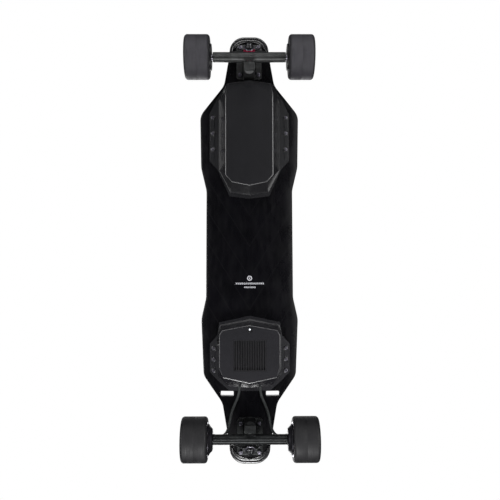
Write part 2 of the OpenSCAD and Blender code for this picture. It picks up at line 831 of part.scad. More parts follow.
module front_bearings(side) {
    color([0.6, 0.6, 0.62]) front_wheel_frame(side) for (u = bearing_u) {
        ring(9.3, 10.98, [u, u + bearing_t]);
        ring(6.4, 9.35, [u + 0.3, u + 0.8]);
        ring(6.4, 9.35, [u + bearing_t - 0.8, u + bearing_t - 0.3]);
        for (i = [0:6]) rotate([0, 0, i * 360 / 7]) translate([7.45, 0, u + bearing_t / 2])
            sphere(r = 1.7, $fn = coarse);
    }
}

module front_left_tyre() {
    front_tyre(LEFT);
}

module front_right_tyre() {
    front_tyre(RIGHT);
}

module front_left_hub() {
    front_hub(LEFT);
}

module front_right_hub() {
    front_hub(RIGHT);
}

module front_left_bearings() {
    front_bearings(LEFT);
}

module front_right_bearings() {
    front_bearings(RIGHT);
}

// ---- Hub motors ----

module rear_wheel_frame(side) {
    at_axle(REAR) along_axle(side) children();
}

module both_motors() {
    for (side = [LEFT, RIGHT]) rear_wheel_frame(side) children();
}

module motor_carriers() {
    end = motor_u[1];
    color([0.6, 0.6, 0.62]) both_motors() {
        translate([0, 0, bar_half - 20]) cylinder(h = 21, r = 6, $fn = fine);
        turned([[0, bar_half], [20, bar_half], [20, bar_half + 3], [9, bar_half + 3], [9, end], [7, end],
            [7, motor_bearing_u[0]], [0, motor_bearing_u[0]]]);
    }
}

module motor_end_covers() {
    color([0.12, 0.12, 0.12]) for (side = [LEFT, RIGHT]) union() {
        at_axle(REAR) translate([side * gland_at.x, gland_at.y, gland_at.z]) rotate([0, side * 90, 0])
            cylinder(h = gland_l, r = 5, $fn = mid);
        rear_wheel_frame(side) turned([[20.2, bar_half], [22.5, bar_half], [33, bar_half + 8],
            [33, bar_half + 9.5], [9.2, bar_half + 9.5], [9.2, bar_half + 3.2], [20.2, bar_half + 3.2]]);
    }
}

module motor_stators() {
    color([0.45, 0.45, 0.47]) both_motors() translate([0, 0, motor_u[0]])
        linear_extrude(motor_u[1] - motor_u[0]) difference() {
            union() {
                circle(r = 14, $fn = fine);
                for (i = [0:teeth - 1]) rotate(i * 360 / teeth) {
                    translate([12, -2]) square([13.5, 4]);
                    intersection() {
                        circle(r = 27, $fn = fine);
                        translate([25, -5.6]) square([3, 11.2]);
                    }
                }
            }
            circle(r = 9, $fn = fine);
        }
}

module motor_windings() {
    long = motor_u[1] - motor_u[0];
    color([0.75, 0.4, 0.2]) both_motors() for (i = [0:teeth - 1]) rotate([0, 0, i * 360 / teeth])
        difference() {
            translate([16, -3.7, motor_u[0] - 2]) cube([8.6, 7.4, long + 4]);
            translate([15, -2, motor_u[0]]) cube([12, 4, long]);
        }
}

module motor_bearings() {
    color([0.6, 0.6, 0.62]) both_motors() for (u = motor_bearing_u)
        turned([[4, u], [5, u], [5, u + 0.4], [6, u + 0.4], [6, u], [7, u],
            [7, u + 5], [6, u + 5], [6, u + 4.6], [5, u + 4.6], [5, u + 5], [4, u + 5]]);
}

module rotor(side) {
    u = rear_inner + 0.5;
    cap = motor_u[1] + 6;
    out = rear_inner + rear_tyre_w - 1.5;
    color([0.3, 0.3, 0.31]) rear_wheel_frame(side) difference() {
        turned([[0, motor_bearing_u[0] + 0.5], [3.95, motor_bearing_u[0] + 0.5], [3.95, cap], [31, cap],
            [31, u], [can_r, u], [can_r, out], [33.5, out], [31.5, cap + 4], [0, cap + 4]]);
        for (i = [0:5]) rotate([0, 0, i * 60]) translate([22, 0, cap + 2.5])
            cylinder(h = 5, r = 2.6, $fn = coarse);
    }
}

module rotor_magnets(side) {
    color([0.5, 0.5, 0.52]) rear_wheel_frame(side) translate([0, 0, motor_u[0]])
        linear_extrude(motor_u[1] - motor_u[0]) intersection() {
            difference() {
                circle(r = 31, $fn = fine);
                circle(r = 28.5, $fn = fine);
            }
            for (i = [0:magnets - 1]) rotate(i * 360 / magnets) translate([26, -5.2]) square([6, 10.4]);
        }
}

module rear_tyre(side) {
    color([0.17, 0.17, 0.17]) rear_wheel_frame(side) tyre(can_r, rear_inner, rear_tyre_w);
}

module rear_left_tyre() {
    rear_tyre(LEFT);
}

module rear_right_tyre() {
    rear_tyre(RIGHT);
}

module rear_left_rotor() {
    rotor(LEFT);
}

module rear_right_rotor() {
    rotor(RIGHT);
}

module rear_left_magnets() {
    rotor_magnets(LEFT);
}

module rear_right_magnets() {
    rotor_magnets(RIGHT);
}

deck();
grip_tape();
nose_bumper();
tail_bumper();
battery_cover();
battery_cells();
cell_holders();
bms_board();
cover_seals();
cover_screws();
esc_cover();
heat_sink();
esc_board();
power_lead();
charge_port();
charge_cap();
button_housing();
power_button();
status_light();
left_motor_cable();
right_motor_cable();
deck_bolts();
front_riser();
front_baseplate();
front_pivot_cup();
front_kingpin();
front_bushing_board_side();
front_bushing_road_side();
front_bushing_washers();
front_kingpin_nut();
front_hanger();
front_axle();
front_axle_nuts();
front_inner_rings();
rear_riser();
rear_baseplate();
rear_pivot_cup();
rear_kingpin();
rear_bushing_board_side();
rear_bushing_road_side();
rear_bushing_washers();
rear_kingpin_nut();
rear_hanger();
motor_carriers();
motor_end_covers();
motor_stators();
motor_windings();
motor_bearings();
front_left_tyre();
front_left_hub();
front_left_bearings();
front_right_tyre();
front_right_hub();
front_right_bearings();
rear_left_tyre();
rear_left_rotor();
rear_left_magnets();
rear_right_tyre();
rear_right_rotor();
rear_right_magnets();
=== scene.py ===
import json
from math import acos, asin, atan2, ceil, copysign, cos, dist, pi, radians, sin, sqrt, tan

import bmesh
import bpy
import numpy as np
from mathutils import Matrix, Vector


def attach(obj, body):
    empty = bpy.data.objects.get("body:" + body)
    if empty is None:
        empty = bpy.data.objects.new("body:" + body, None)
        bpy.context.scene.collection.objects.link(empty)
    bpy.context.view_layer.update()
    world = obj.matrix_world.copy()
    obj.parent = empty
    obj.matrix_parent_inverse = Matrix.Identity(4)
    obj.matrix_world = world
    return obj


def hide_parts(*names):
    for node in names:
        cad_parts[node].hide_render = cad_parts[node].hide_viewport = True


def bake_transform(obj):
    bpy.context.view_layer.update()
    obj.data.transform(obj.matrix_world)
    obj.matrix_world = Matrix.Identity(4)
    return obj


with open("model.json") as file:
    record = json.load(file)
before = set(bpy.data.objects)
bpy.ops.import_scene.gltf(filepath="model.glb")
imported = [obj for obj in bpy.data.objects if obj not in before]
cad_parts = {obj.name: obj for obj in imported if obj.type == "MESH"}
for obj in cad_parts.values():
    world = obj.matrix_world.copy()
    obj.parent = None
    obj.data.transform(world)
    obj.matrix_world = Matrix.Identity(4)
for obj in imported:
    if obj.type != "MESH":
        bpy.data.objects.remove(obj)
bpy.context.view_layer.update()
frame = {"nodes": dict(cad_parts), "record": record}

scene = bpy.context.scene

# ---------------- driving sizes, in millimetres

# The board lies along Y with its nose at +Y, and the ground is z = 0
DECK_LENGTH, DECK_T, CONCAVE_R, GRIP_T = 970, 12, 788, 0.8
AXLE_Y, AXLE_Z, UNDER_Z = 414, 48, 113
FRONT, REAR, LEFT, RIGHT = 1, -1, -1, 1
FLIP = Matrix.Rotation(pi, 4, "X")

# Corners of the right half of the deck's outline, nose first: x, y and the corner's radius
DECK_CORNERS = [
    (45.5, 485, 33), (44.8, 447, 60), (57.8, 373, 40), (113, 305, 35), (110.8, 183, 60), (98.2, 130, 50),
    (99, -115, 50), (109.8, -163, 60), (104.5, -290, 30), (61.8, -351, 45), (45.8, -447, 60),
    (45.2, -485, 34)]
OUTLINE_STEP, SPINE_INSET, SHEET_STEPS = 6, 45, 7
RAIL_R, GRIP_MARGIN, GRIP_HOLE_R = 3.2, 3.6, 7.2
BUMPER_SEAT, BUMPER_LIP, BUMPER_REACH, BUMPER_LONG, BUMPER_R = 4.2, 1.6, 13, 48, 47
SLOT_X, SLOT_Y, SLOT_HALF, SLOT_ROUND = 51, -329.5, (14.5, 5.5), 2
SLOT_THROUGH, HOLE_THROUGH = (100, 140), (110, 145)
# Deck bolts: x, distances out from the axle, and the heights of a bolt's tip, its nut's face and its head
BOLT_X, BOLT_OUT, BOLT_ENDS = 20.65, (-21, 42.5), (96, 102, 125.3)

# The boxes. A FLOOR is the right half of a pan's flat, a FLANGE that of its flange's rim, and a BASE is where
# the pan's sides would reach BASE_RISE above the deck's underside
SEAL, FLANGE, WALL, EDGE_ROUND, BASE_RISE = 1, 3, 2.6, 2.5, 6
PAN_STEP, FLANGE_STEP, FLAT_NORMAL_Z = 16, 12, 0.9995
BATTERY_Z, BATTERY_RIDGE, ESC_Z, ESC_RIDGE = 81, 1.5, 85, 0.3
BATTERY_BASE = [(1, 378), (52, 371), (73, 335), (73, 180), (44, 118), (1, 112)]
BATTERY_FLOOR = [(1, 374), (50, 367), (54, 345), (54, 160), (40, 145), (1, 137)]
BATTERY_FLANGE = [(0, 380), (54, 373), (76, 337), (91, 306), (91, 198), (72, 176), (45, 116), (0, 110)]
ESC_BASE = [(1, -157), (68, -172), (72, -190), (72, -295), (45, -320), (1, -321)]
ESC_FLOOR = [(1, -175), (61, -186), (68, -196), (68, -269), (60, -290), (1, -303)]
ESC_FLANGE = [(0, -155), (69, -170), (73, -199), (90, -218), (90, -281), (71, -301), (46, -322), (0, -323)]
SCREWS = [(83, 298), (83, 261), (83, 224), (81, -228), (81, -253), (81, -278)]
BATTERY_PADS = [(84, 279.5, 24), (84, 242.5, 24), (84, 208.5, 17)]
ESC_PADS = [(82.5, -240.5, 12), (82.5, -265.5, 12)]
SINK_W, SINK_L, SINK_Y, SINK_RIM, SINK_WALL, SINK_GAP = 73, 68, -241, 5, 1.5, 0.2
SINK_FINS, FIN_DEPTH = 14, 5
BUTTON_Y, BUTTON_HOLE_R, BUTTON_HOLE_END = -184, 7, 1.427
PORT_X, PORT_Y, PORT_Z = 71.5, -215, 98

# Trucks and wheels: the ring is the hanger's eye round the kingpin; distances along the axle are from x = 0
STEER, RING_OUT, RING_UP = radians(40), 14.01, 22.2
CAST_VOXEL, CAST_ROUNDS, CAD_WELD = 0.8, 4, 2e-6
BOARD_BUSHING, ROAD_BUSHING, WASHER_T = (3.5, 18), (3.5, 16), 1.5
TYRE_R, SHOULDER, CORE_R, CAN_R = 48, 6.6, 30, 36
FRONT_INNER, REAR_INNER = 86, 90.5
FRONT_TYRE_W, REAR_TYRE_W = 55, 56
GLAND = (76, -414, 73.8)

# The right motor cable's centre line, with heights from the deck's underside
CABLE_D, BRAID = 6, 0.07
SLEEVE_LONG, SLEEVE_T, SLEEVE_RIB = 9, 0.35, 0.18
CABLE_ROUTE = [
    (23.5, -308, -3), (23.5, -318, -3.1), (24.6, -328, -3), (27.8, -338.5, -2.9), (32.2, -349, -2.8),
    (36.4, -359, -2.7), (40, -369, -2.7), (42.8, -379, -3.3), (44.8, -388, -5.5), (46.3, -396, -9.5),
    (48, -402.5, -15.5), (50.5, -407.5, -22.5), (54, -411, -29.5), (58.5, -413, -35), (64, -413.8, -38.2),
    (69.5, -414, -38.8), (74.6, -414.1, -39.2)]

# ---------------- mesh helpers

def placed(name, data, at=(0, 0, 0)):
    """A new object in the scene."""
    obj = bpy.data.objects.new(name, data)
    obj.location = at
    scene.collection.objects.link(obj)
    return obj


def loose(name, verts, faces, weld=1e-6):
    """A closed mesh from millimetre points."""
    work, mesh = bmesh.new(), bpy.data.meshes.new(name)
    made = [work.verts.new(Vector(v) / 1000) for v in verts]
    for face in faces:
        try:
            work.faces.new([made[i] for i in face])
        except ValueError:
            continue
    bmesh.ops.remove_doubles(work, verts=work.verts, dist=weld)
    bmesh.ops.dissolve_degenerate(work, edges=work.edges, dist=weld / 10)
    bmesh.ops.recalc_face_normals(work, faces=work.faces)
    work.to_mesh(mesh)
    work.free()
    return placed(name, mesh)


def dress(obj, body, slot, replaces=(), finish=None):
    """Puts a new object on its body and gives it a finish: its slot's own unless another is named."""
    obj.data.materials.clear()
    obj.data.materials.append(M[finish or slot])
    obj.data.shade_smooth()
    if body:
        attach(obj, body)
    if replaces:
        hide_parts(*replaces)
    return obj


def piece(name, verts, faces, body, slot, replaces=(), finish=None, weld=1e-5):
    """A closed mesh on a body, with a finish."""
    return dress(loose(name, verts, faces, weld), body, slot, replaces, finish)


def modifier(obj, kind, **values):
    """A new modifier with its settings."""
    made = obj.modifiers.new(kind.lower(), kind)
    for key, value in values.items():
        setattr(made, key, value)


def bevel(obj, width, angle, segments, **more):
    """Rounds the edges that are sharper than an angle, in millimetres and degrees."""
    modifier(obj, "BEVEL", width=width / 1000, segments=segments, limit_method="ANGLE",
             angle_limit=radians(angle), **more)


def soften(obj, width, angle, segments):
    """Rounds an object's hard edges and shades it smooth."""
    bevel(obj, width, angle, segments, harden_normals=True)
    obj.data.shade_smooth()


def freeze(obj):
    """Applies an object's modifiers to its mesh."""
    bpy.context.view_layer.update()
    seen = obj.evaluated_get(bpy.context.evaluated_depsgraph_get())
    old = obj.data
    obj.data = bpy.data.meshes.new_from_object(seen)
    obj.modifiers.clear()
    bpy.data.meshes.remove(old)
    return obj


def combine(obj, others, operation):
    """Cuts or fuses throw-away objects, then removes them."""
    for other in others:
        modifier(obj, "BOOLEAN", operation=operation, solver="EXACT", object=other)
    freeze(obj)
    for other in others:
        bpy.data.objects.remove(other)
    return obj


def cut(obj, cutters):
    """Cuts throw-away objects from obj."""
    return combine(obj, cutters, "DIFFERENCE")


def fuse(obj, others):
    """Joins throw-away objects onto obj as one solid."""
    return combine(obj, others, "UNION")


def row(k, n):
    """The numbers of the vertices in row k of a mesh made of rows of n."""
    return list(range(k * n, (k + 1) * n))


def grow(verts, more):
    """Adds vertices to a list and returns their numbers."""
    verts += more
    return list(range(len(verts) - len(more), len(verts)))


def quads(a, b, closed=True):
    """Faces between two rows of vertex numbers."""
    n = len(a)
    return [[a[k], a[(k + 1) % n], b[(k + 1) % n], b[k]] for k in range(n if closed else n - 1)]


def prism(points, low, high):
    """Vertices and faces of an upright prism over a plan outline."""
    bottom, top = row(0, len(points)), row(1, len(points))
    return [(x, y, z) for z in (low, high) for x, y in points], quads(bottom, top) + [bottom, top]


def rod(radius, low, high, place, sides=32):
    """Vertices and faces of a cylinder along a place's Z."""
    ring = [(radius * cos(2 * pi * k / sides), radius * sin(2 * pi * k / sides))
            for k in range(sides)]
    verts, faces = prism(ring, low, high)
    return [place @ Vector(v) for v in verts], faces


def block(low, high):
    """Vertices and faces of a box between two corners."""
    (a, b, c), (d, e, f) = low, high
    return prism([(a, b), (d, b), (d, e), (a, e)], c, f)


def merged(*parts):
    """Several vertex and face lists as one."""
    verts, faces = [], []
    for some_verts, some_faces in parts:
        start = len(verts)
        verts += list(some_verts)
        faces += [[start + i for i in face] for face in some_faces]
    return verts, faces


def swept(profile_at, place, sides):
    """A closed solid about a place's Z, from a closed loop of (radius, height) at each angle."""
    loops = [profile_at(2 * pi * k / sides) for k in range(sides)]
    n, verts, faces = len(loops[0]), [], []
    for k, loop in enumerate(loops):
        a = 2 * pi * k / sides
        verts += [place @ Vector((r * cos(a), r * sin(a), h)) for r, h in loop]
        faces += quads(row(k, n), row((k + 1) % sides, n))
    return verts, faces


def turned(profile, place, sides=96):
    """A closed solid of revolution about a place's Z, from a closed loop of (radius, height)."""
    return swept(lambda angle: profile, place, sides)


def arc_of(before, corner, after, step):
    """Points of the arc that rounds one corner."""
    p = np.array(corner[:2], float)
    u = np.array(before[:2], float) - p
    v = np.array(after[:2], float) - p
    u, v = u / np.linalg.norm(u), v / np.linalg.norm(v)
    half = acos(float(u @ v)) / 2
    middle = (u + v) / np.linalg.norm(u + v)
    centre = p + middle * corner[2] / sin(half)
    start = p + u * corner[2] / tan(half) - centre
    turn = (pi - 2 * half) * (-1 if u[0] * v[1] - u[1] * v[0] > 0 else 1)
    n = max(2, ceil(abs(turn) / radians(step)))
    spots = []
    for i in range(n + 1):
        a = turn * i / n
        spots.append((centre[0] + start[0] * cos(a) - start[1] * sin(a),
                      centre[1] + start[0] * sin(a) + start[1] * cos(a)))
    return spots


def rounded(corners, step):
    """A closed outline whose corners are (x, y, radius)."""
    n, outline = len(corners), []
    for i, corner in enumerate(corners):
        if corner[2] == 0:
            outline.append(corner[:2])
        else:
            outline += arc_of(corners[i - 1], corner, corners[(i + 1) % n], step)
    return outline


def between(a, b, t):
    """The point at a share of the way from a to b."""
    return tuple(p + (q - p) * t for p, q in zip(a, b))


def split_loop(loop, spacing):
    """Each side of a closed loop split into pieces, as (corner, next corner, share) rows."""
    rows = []
    for i, a in enumerate(loop):
        n = max(1, round(dist(a, loop[(i + 1) % len(loop)]) / spacing))
        rows += [(i, (i + 1) % len(loop), k / n) for k in range(n)]
    return rows


def resampled(outline, spacing):
    """The same closed outline with long sides split."""
    return [between(outline[a], outline[b], t) for a, b, t in split_loop(outline, spacing)]


def inward(outline):
    """Unit inward normals of a closed outline."""
    p = np.array(outline, float)
    along = np.roll(p, -1, 0) - np.roll(p, 1, 0)
    normal = np.stack([along[:, 1], -along[:, 0]], 1)
    normal /= np.linalg.norm(normal, axis=1)[:, None]
    area = np.sum(p[:, 0] * np.roll(p[:, 1], -1) - np.roll(p[:, 0], -1) * p[:, 1])
    return normal if area < 0 else -normal


def both(points):
    """Half an outline joined to its mirror image."""
    return list(points) + [(-p[0], *p[1:]) for p in reversed(points) if p[0]]


def box_plan(x, y):
    """A rectangle's corners, from half its sizes."""
    return [(x, y), (x, -y), (-x, -y), (-x, y)]


def frame_at(x, y, z, turn=0, axis="Z"):
    """A frame at a point, turned about one of its axes."""
    return Matrix.Translation((x, y, z)) @ Matrix.Rotation(turn, 4, axis)


def bow(x):
    """How far the deck's underside rises at a distance from its middle."""
    return CONCAVE_R - sqrt(CONCAVE_R ** 2 - x * x)


def on_deck(x, y):
    """The place square to the deck's underside at x and y."""
    return frame_at(0, y, UNDER_Z + CONCAVE_R, -asin(x / CONCAVE_R), "Y") @ frame_at(0, 0, -CONCAVE_R)


def at_ring(end):
    """The frame of one truck's ring: Y is the steering axis, outwards, and Z the kingpin."""
    axle = frame_at(0, end * AXLE_Y, AXLE_Z, 0 if end > 0 else pi)
    return axle @ frame_at(0, RING_OUT, RING_UP, STEER, "X")


def on_wheel(end, side):
    """A wheel's frame: Z points outwards along the axle, from the board's middle."""
    return frame_at(0, end * AXLE_Y, AXLE_Z, side * pi / 2, "Y")


def round_axle(place, count, radius):
    """Frames spread evenly round a wheel's axle."""
    return [place @ frame_at(0, 0, 0, 2 * pi * k / count) @ frame_at(radius, 0, 0) for k in range(count)]


# ---------------- materials

GREY, BLUISH, GREENISH, COOL = (1, 0.96, 1.12), (1, 0.94, 1.3), (1, 1.1, 1.1), (0.98, 1, 1)
COAT_ROUGHNESS, COAT_IOR = 0.22, 2.0
PRINT_Y, RING_R, RING_HALF, DOT_R = -70.5, 4.6, 1.2, 1.6
PRINT_BARS = ((-82.5, 32.5, 2.0), (-91, 13.5, 1.7))
BAR_PITCH, BAR_SHARE = 4.6, 0.62
CHEVRON_SLOPE, CHEVRONS_PER_M, CHEVRON_SHARE = -1.6, 14, 0.05
PLY_T, GLUE_SHARE = 3, 0.14
M = {}


def grey(value, tint=GREY):
    """A linear grey with a slight tint."""
    return tuple(value * t for t in tint)


class Nodes:
    """Short ways to build the nodes of a material or a world."""

    def __init__(self, owner):
        owner.use_nodes = True
        self.tree = owner.node_tree

    def feed(self, node, inputs):
        """Gives a node's inputs numbers, colours or other nodes' sockets."""
        for key, value in inputs.items():
            socket = node.inputs[key]
            if isinstance(value, bpy.types.NodeSocket):
                self.tree.links.new(value, socket)
            else:
                socket.default_value = (*value, 1) if socket.type == "RGBA" else value

    def add(self, kind, inputs, output=0, **settings):
        """One output of a new node."""
        node = self.tree.nodes.new("ShaderNode" + kind)
        for key, value in settings.items():
            setattr(node, key, value)
        self.feed(node, inputs)
        return node.outputs[output]


class Look(Nodes):
    """A new material, kept in M, with its shader."""

    def __init__(self, name):
        M[name] = bpy.data.materials.new(name)
        super().__init__(M[name])
        self.shader = self.tree.nodes["Principled BSDF"]
        self.spot = self.add("TexCoord", {}, "Object")

    def noise(self, scale, detail=4, stretch=None):
        """A noise value of about 0 to 1 at a scale per metre."""
        spot = self.add("Mapping", {"Vector": self.spot, "Scale": stretch}) if stretch else self.spot
        return self.add("TexNoise", {"Vector": spot, "Scale": scale, "Detail": detail}, "Fac")

    def ranged(self, value, low=0.3, high=0.7, to=(0, 1)):
        """A value mapped from one range to another."""
        return self.add("MapRange", {"Value": value, "From Min": low, "From Max": high, "To Min": to[0],
                                     "To Max": to[1]}, "Result")

    def math(self, kind, *values):
        """A maths node over sockets or numbers."""
        return self.add("Math", dict(enumerate(values)), operation=kind)

    def mixed(self, factor, a, b):
        """A colour between a and b, each a colour or a socket."""
        return self.add("Mix", {"Factor": factor, 6: a, 7: b}, 2, data_type="RGBA")

    def facing(self, axis):
        """One component of the surface's direction."""
        return self.add("SeparateXYZ", {0: self.add("NewGeometry", {}, "Normal")}, axis)

    def band(self, value, centre, half):
        """1 where a value in metres lies within half of a centre, both in millimetres."""
        away = self.math("ABSOLUTE", self.math("SUBTRACT", value, centre / 1000))
        return self.math("LESS_THAN", away, half / 1000)

    def bump(self, height, distance):
        """Relief of a height in metres."""
        normal = self.add("Bump", {"Height": height, "Distance": distance, "Strength": 1.0}, "Normal")
        self.feed(self.shader, {"Normal": normal})

    def finish(self, colour, roughness, **more):
        """Sets the shader's inputs, in whose names an underscore stands for a space."""
        self.feed(self.shader, {"Base Color": colour, "Roughness": roughness})
        self.feed(self.shader, {key.replace("_", " "): value for key, value in more.items()})


def mottled(name, dark, light, patch, rough, grain=None, metallic=0.0, stretch=None, specular=0.5, coat=0.0,
            tint=GREY):
    """A mottled finish: two close colours or greys, a range of roughness and a grain of relief."""
    look = Look(name)
    dark, light = (shade if isinstance(shade, tuple) else grey(shade, tint) for shade in (dark, light))
    colour = look.mixed(look.ranged(look.noise(patch, 5, stretch)), dark, light)
    look.finish(colour, look.ranged(look.noise(patch * 6, 6, stretch), to=rough), Metallic=metallic,
                Specular_IOR_Level=specular, Coat_Weight=coat, Coat_Roughness=COAT_ROUGHNESS,
                Coat_IOR=COAT_IOR)
    if grain:
        look.bump(look.noise(grain[0], 3, stretch), grain[1])


def print_mask(look, x, y):
    """A plain printed ring over two broken bars, in the middle of the deck's underside."""
    dx, dy = look.math("MULTIPLY", x, x), look.math("SUBTRACT", y, PRINT_Y / 1000)
    reach = look.math("SQRT", look.math("ADD", dx, look.math("MULTIPLY", dy, dy)))
    masks = [look.band(reach, RING_R, RING_HALF), look.band(reach, 0, DOT_R)]
    for at, half, high in PRINT_BARS:
        teeth = look.math("FRACT", look.math("MULTIPLY", x, 1000 / BAR_PITCH))
        inside = look.math("MULTIPLY", look.band(x, 0, half), look.band(y, at, high))
        masks.append(look.math("MULTIPLY", inside, look.math("LESS_THAN", teeth, BAR_SHARE)))
    total = masks[0]
    for mask in masks[1:]:
        total = look.math("MAXIMUM", total, mask)
    return look.math("MULTIPLY", total, look.math("LESS_THAN", look.facing(2), -0.5))


def lacquer():
    """Black lacquer over plies, with faint chevrons under the gloss and the plies showing at the rim."""
    look = Look("deck_lacquer")
    split = look.tree.nodes.new("ShaderNodeSeparateXYZ")
    look.feed(split, {0: look.spot})
    x, y, z = split.outputs
    slope = look.math("MULTIPLY", look.math("ABSOLUTE", x), CHEVRON_SLOPE)
    wave = look.math("FRACT", look.math("MULTIPLY", look.math("ADD", y, slope), CHEVRONS_PER_M))
    line = look.math("LESS_THAN", wave, CHEVRON_SHARE)
    base = look.mixed(look.ranged(look.noise(18)), grey(0.0025, BLUISH), grey(0.0045, BLUISH))
    base = look.mixed(look.math("MULTIPLY", line, 0.5), base, grey(0.009))
    base = look.mixed(print_mask(look, x, y), base, (0.62, 0.62, 0.66))
    bend = look.math("DIVIDE", look.math("MULTIPLY", x, x), 2 * CONCAVE_R / 1000)
    plies = look.math("FRACT", look.math("MULTIPLY", look.math("SUBTRACT", z, bend), 1000 / PLY_T))
    grain = look.ranged(look.noise(60, 5, (1, 1, 12)))
    wood = look.mixed(grain, (0.018, 0.016, 0.015), (0.034, 0.030, 0.026))
    wood = look.mixed(look.math("LESS_THAN", plies, GLUE_SHARE), wood, (0.005, 0.005, 0.005))
    rim = look.math("LESS_THAN", look.math("ABSOLUTE", look.facing(2)), 0.35)
    scuffs = look.ranged(look.noise(90, 6, (1, 0.3, 1)), 0.35, 0.75, (0.24, 0.42))
    look.finish(look.mixed(rim, base, wood), scuffs, Specular_IOR_Level=0.2)
    look.bump(look.noise(240, 2, (1, 0.15, 1)), 0.00006)


def grit():
    """Coarse black grip tape."""
    look = Look("grip")
    cells = look.add("TexVoronoi", {"Vector": look.spot, "Scale": 1500}, "Distance")
    grains = look.ranged(cells, 0.0, 0.6, (1, 0))
    dull = look.mixed(grains, grey(0.012), grey(0.035))
    look.finish(look.mixed(look.ranged(look.noise(9, 5), 0.4), dull, grey(0.03)),
                look.ranged(grains, 0, 1, (0.95, 0.6)))
    look.bump(grains, 0.0004)


def urethane(name, tread, side):
    """A cast tyre: scuffed round the tread, cleaner on its shoulders and sides."""
    look = Look(name)
    scuffs = look.ranged(look.noise(26, 6, (14, 1, 1)))
    flank = look.ranged(look.math("ABSOLUTE", look.facing(0)), 0.15, 0.6)
    worn = look.mixed(scuffs, grey(tread * 0.8), grey(tread * 1.2))
    look.finish(look.mixed(flank, worn, grey(side)), look.ranged(scuffs, 0, 1, (0.5, 0.75)))
    look.bump(look.noise(900, 3, (2, 1, 1)), 0.00008)


def glow():
    """The button's light guide, lit from behind."""
    look = Look("light_guide")
    look.finish(look.mixed(look.ranged(look.noise(900, 2)), (0.8, 0.85, 0.9), (0.9, 0.93, 1.0)), 0.3,
                Emission_Color=(0.9, 0.95, 1.0), Emission_Strength=1.6)


lacquer()
grit()
urethane("front_urethane", 0.054, 0.026)
urethane("rear_urethane", 0.0105, 0.009)
glow()
CAST = dict(grain=(1700, 0.00009), metallic=0.85)
MOULDED = dict(grain=(2200, 0.00003), specular=0.25, coat=1.0, tint=BLUISH)
mottled("bumper_rubber", 0.006, 0.012, 40, (0.16, 0.3), coat=1.0)
mottled("battery_plastic", 0.0048, 0.0068, 22, (0.48, 0.62), **MOULDED)
mottled("esc_plastic", 0.0085, 0.011, 22, (0.48, 0.6), **MOULDED)
mottled("cell_wrap", (0.01, 0.09, 0.05), (0.02, 0.13, 0.08), 60, (0.25, 0.35))
mottled("holder_plastic", 0.5, 0.58, 60, (0.45, 0.6))
mottled("circuit_board", (0.01, 0.07, 0.03), (0.02, 0.1, 0.05), 300, (0.3, 0.5))
mottled("foam", 0.01, 0.02, 900, (0.8, 0.95), (2500, 0.0003))
mottled("black_steel", 0.12, 0.22, 260, (0.28, 0.45), metallic=0.8)
mottled("sink_aluminium", 0.0145, 0.0195, 90, (0.42, 0.55), (900, 0.00005), 0.3, (1, 0.1, 1))
mottled("red_wire", (0.2, 0.01, 0.01), (0.3, 0.02, 0.02), 90, (0.4, 0.55))
mottled("black_rubber", 0.01, 0.018, 90, (0.6, 0.75), (900, 0.0001))
mottled("button_plastic", 0.008, 0.014, 160, (0.25, 0.4), (1600, 0.00003))
mottled("cable_jacket", 0.02, 0.06, 700, (0.5, 0.7), (1500, 0.0003), tint=GREENISH)
mottled("cast_aluminium", 0.074, 0.115, 70, (0.34, 0.52), **CAST, tint=COOL)
# A darker copy of the cast aluminium for the rear truck's castings: painted shade, the same metal darkened
# for the shadow the rear truck sits in
mottled("cast_aluminium_painted_shade", (0.022, 0.023, 0.024), (0.037, 0.039, 0.039), 70, (0.34, 0.5), **CAST)
mottled("red_urethane", (0.34, 0.008, 0.045), (0.46, 0.016, 0.075), 90, (0.25, 0.4), coat=0.3)
mottled("black_urethane", 0.008, 0.014, 90, (0.3, 0.45))
mottled("zinc_steel", 0.38, 0.55, 200, (0.2, 0.38), metallic=1.0)
mottled("dark_steel", (0.12, 0.12, 0.125), (0.22, 0.22, 0.23), 200, (0.22, 0.4), metallic=1.0)
mottled("hub_plastic", 0.008, 0.014, 90, (0.35, 0.5), (1500, 0.00005))
mottled("bearing_steel", 0.4, 0.6, 300, (0.15, 0.3), metallic=1.0)
mottled("motor_metal", 0.03, 0.05, 120, (0.3, 0.45), (1500, 0.00004), 0.8)
mottled("rotor_steel", 0.06, 0.1, 120, (0.25, 0.4), metallic=0.9)
mottled("laminations", 0.15, 0.25, 400, (0.35, 0.5), metallic=0.9, stretch=(8, 1, 1))
mottled("copper", (0.3, 0.09, 0.03), (0.5, 0.17, 0.06), 500, (0.25, 0.4), (1400, 0.0002), 0.9)
mottled("magnet", 0.3, 0.42, 200, (0.2, 0.3), metallic=1.0)

SLOT_OF = {row["node"]: row["material_slot"] for row in frame["record"]["subparts"]}
for node_name, node in frame["nodes"].items():
    node.data.materials.clear()
    node.data.materials.append(M[SLOT_OF[node_name]])

# ---------------- camera, lights and floor

LENS, SENSOR, FAR_CLIP = 43.3, 36, 50
CAMERA_AT = (0.0087, -0.0665, -1.252)
CAMERA_LOOK = Vector((-0.0072, 0.044, 1.0))
CAMERA_UP = Vector((-0.0024, 1, 0))
SUN_POWER, SUN_ANGLE, SUN_TURN = 1.3, 0.7, (0.35, 0.25, 0)
SKY_COLOUR, SKY_STRENGTH = (0.9, 0.95, 1), 0.035
FLOOR_REACH = 6


def aim(obj, look, up):
    """Turns an object so that its -Z looks along a direction, with a given up."""
    back = -look.normalized()
    side = up.cross(back).normalized()
    rows = Matrix((side, back.cross(side), back)).transposed()
    obj.matrix_world = Matrix.Translation(obj.location) @ rows.to_4x4()


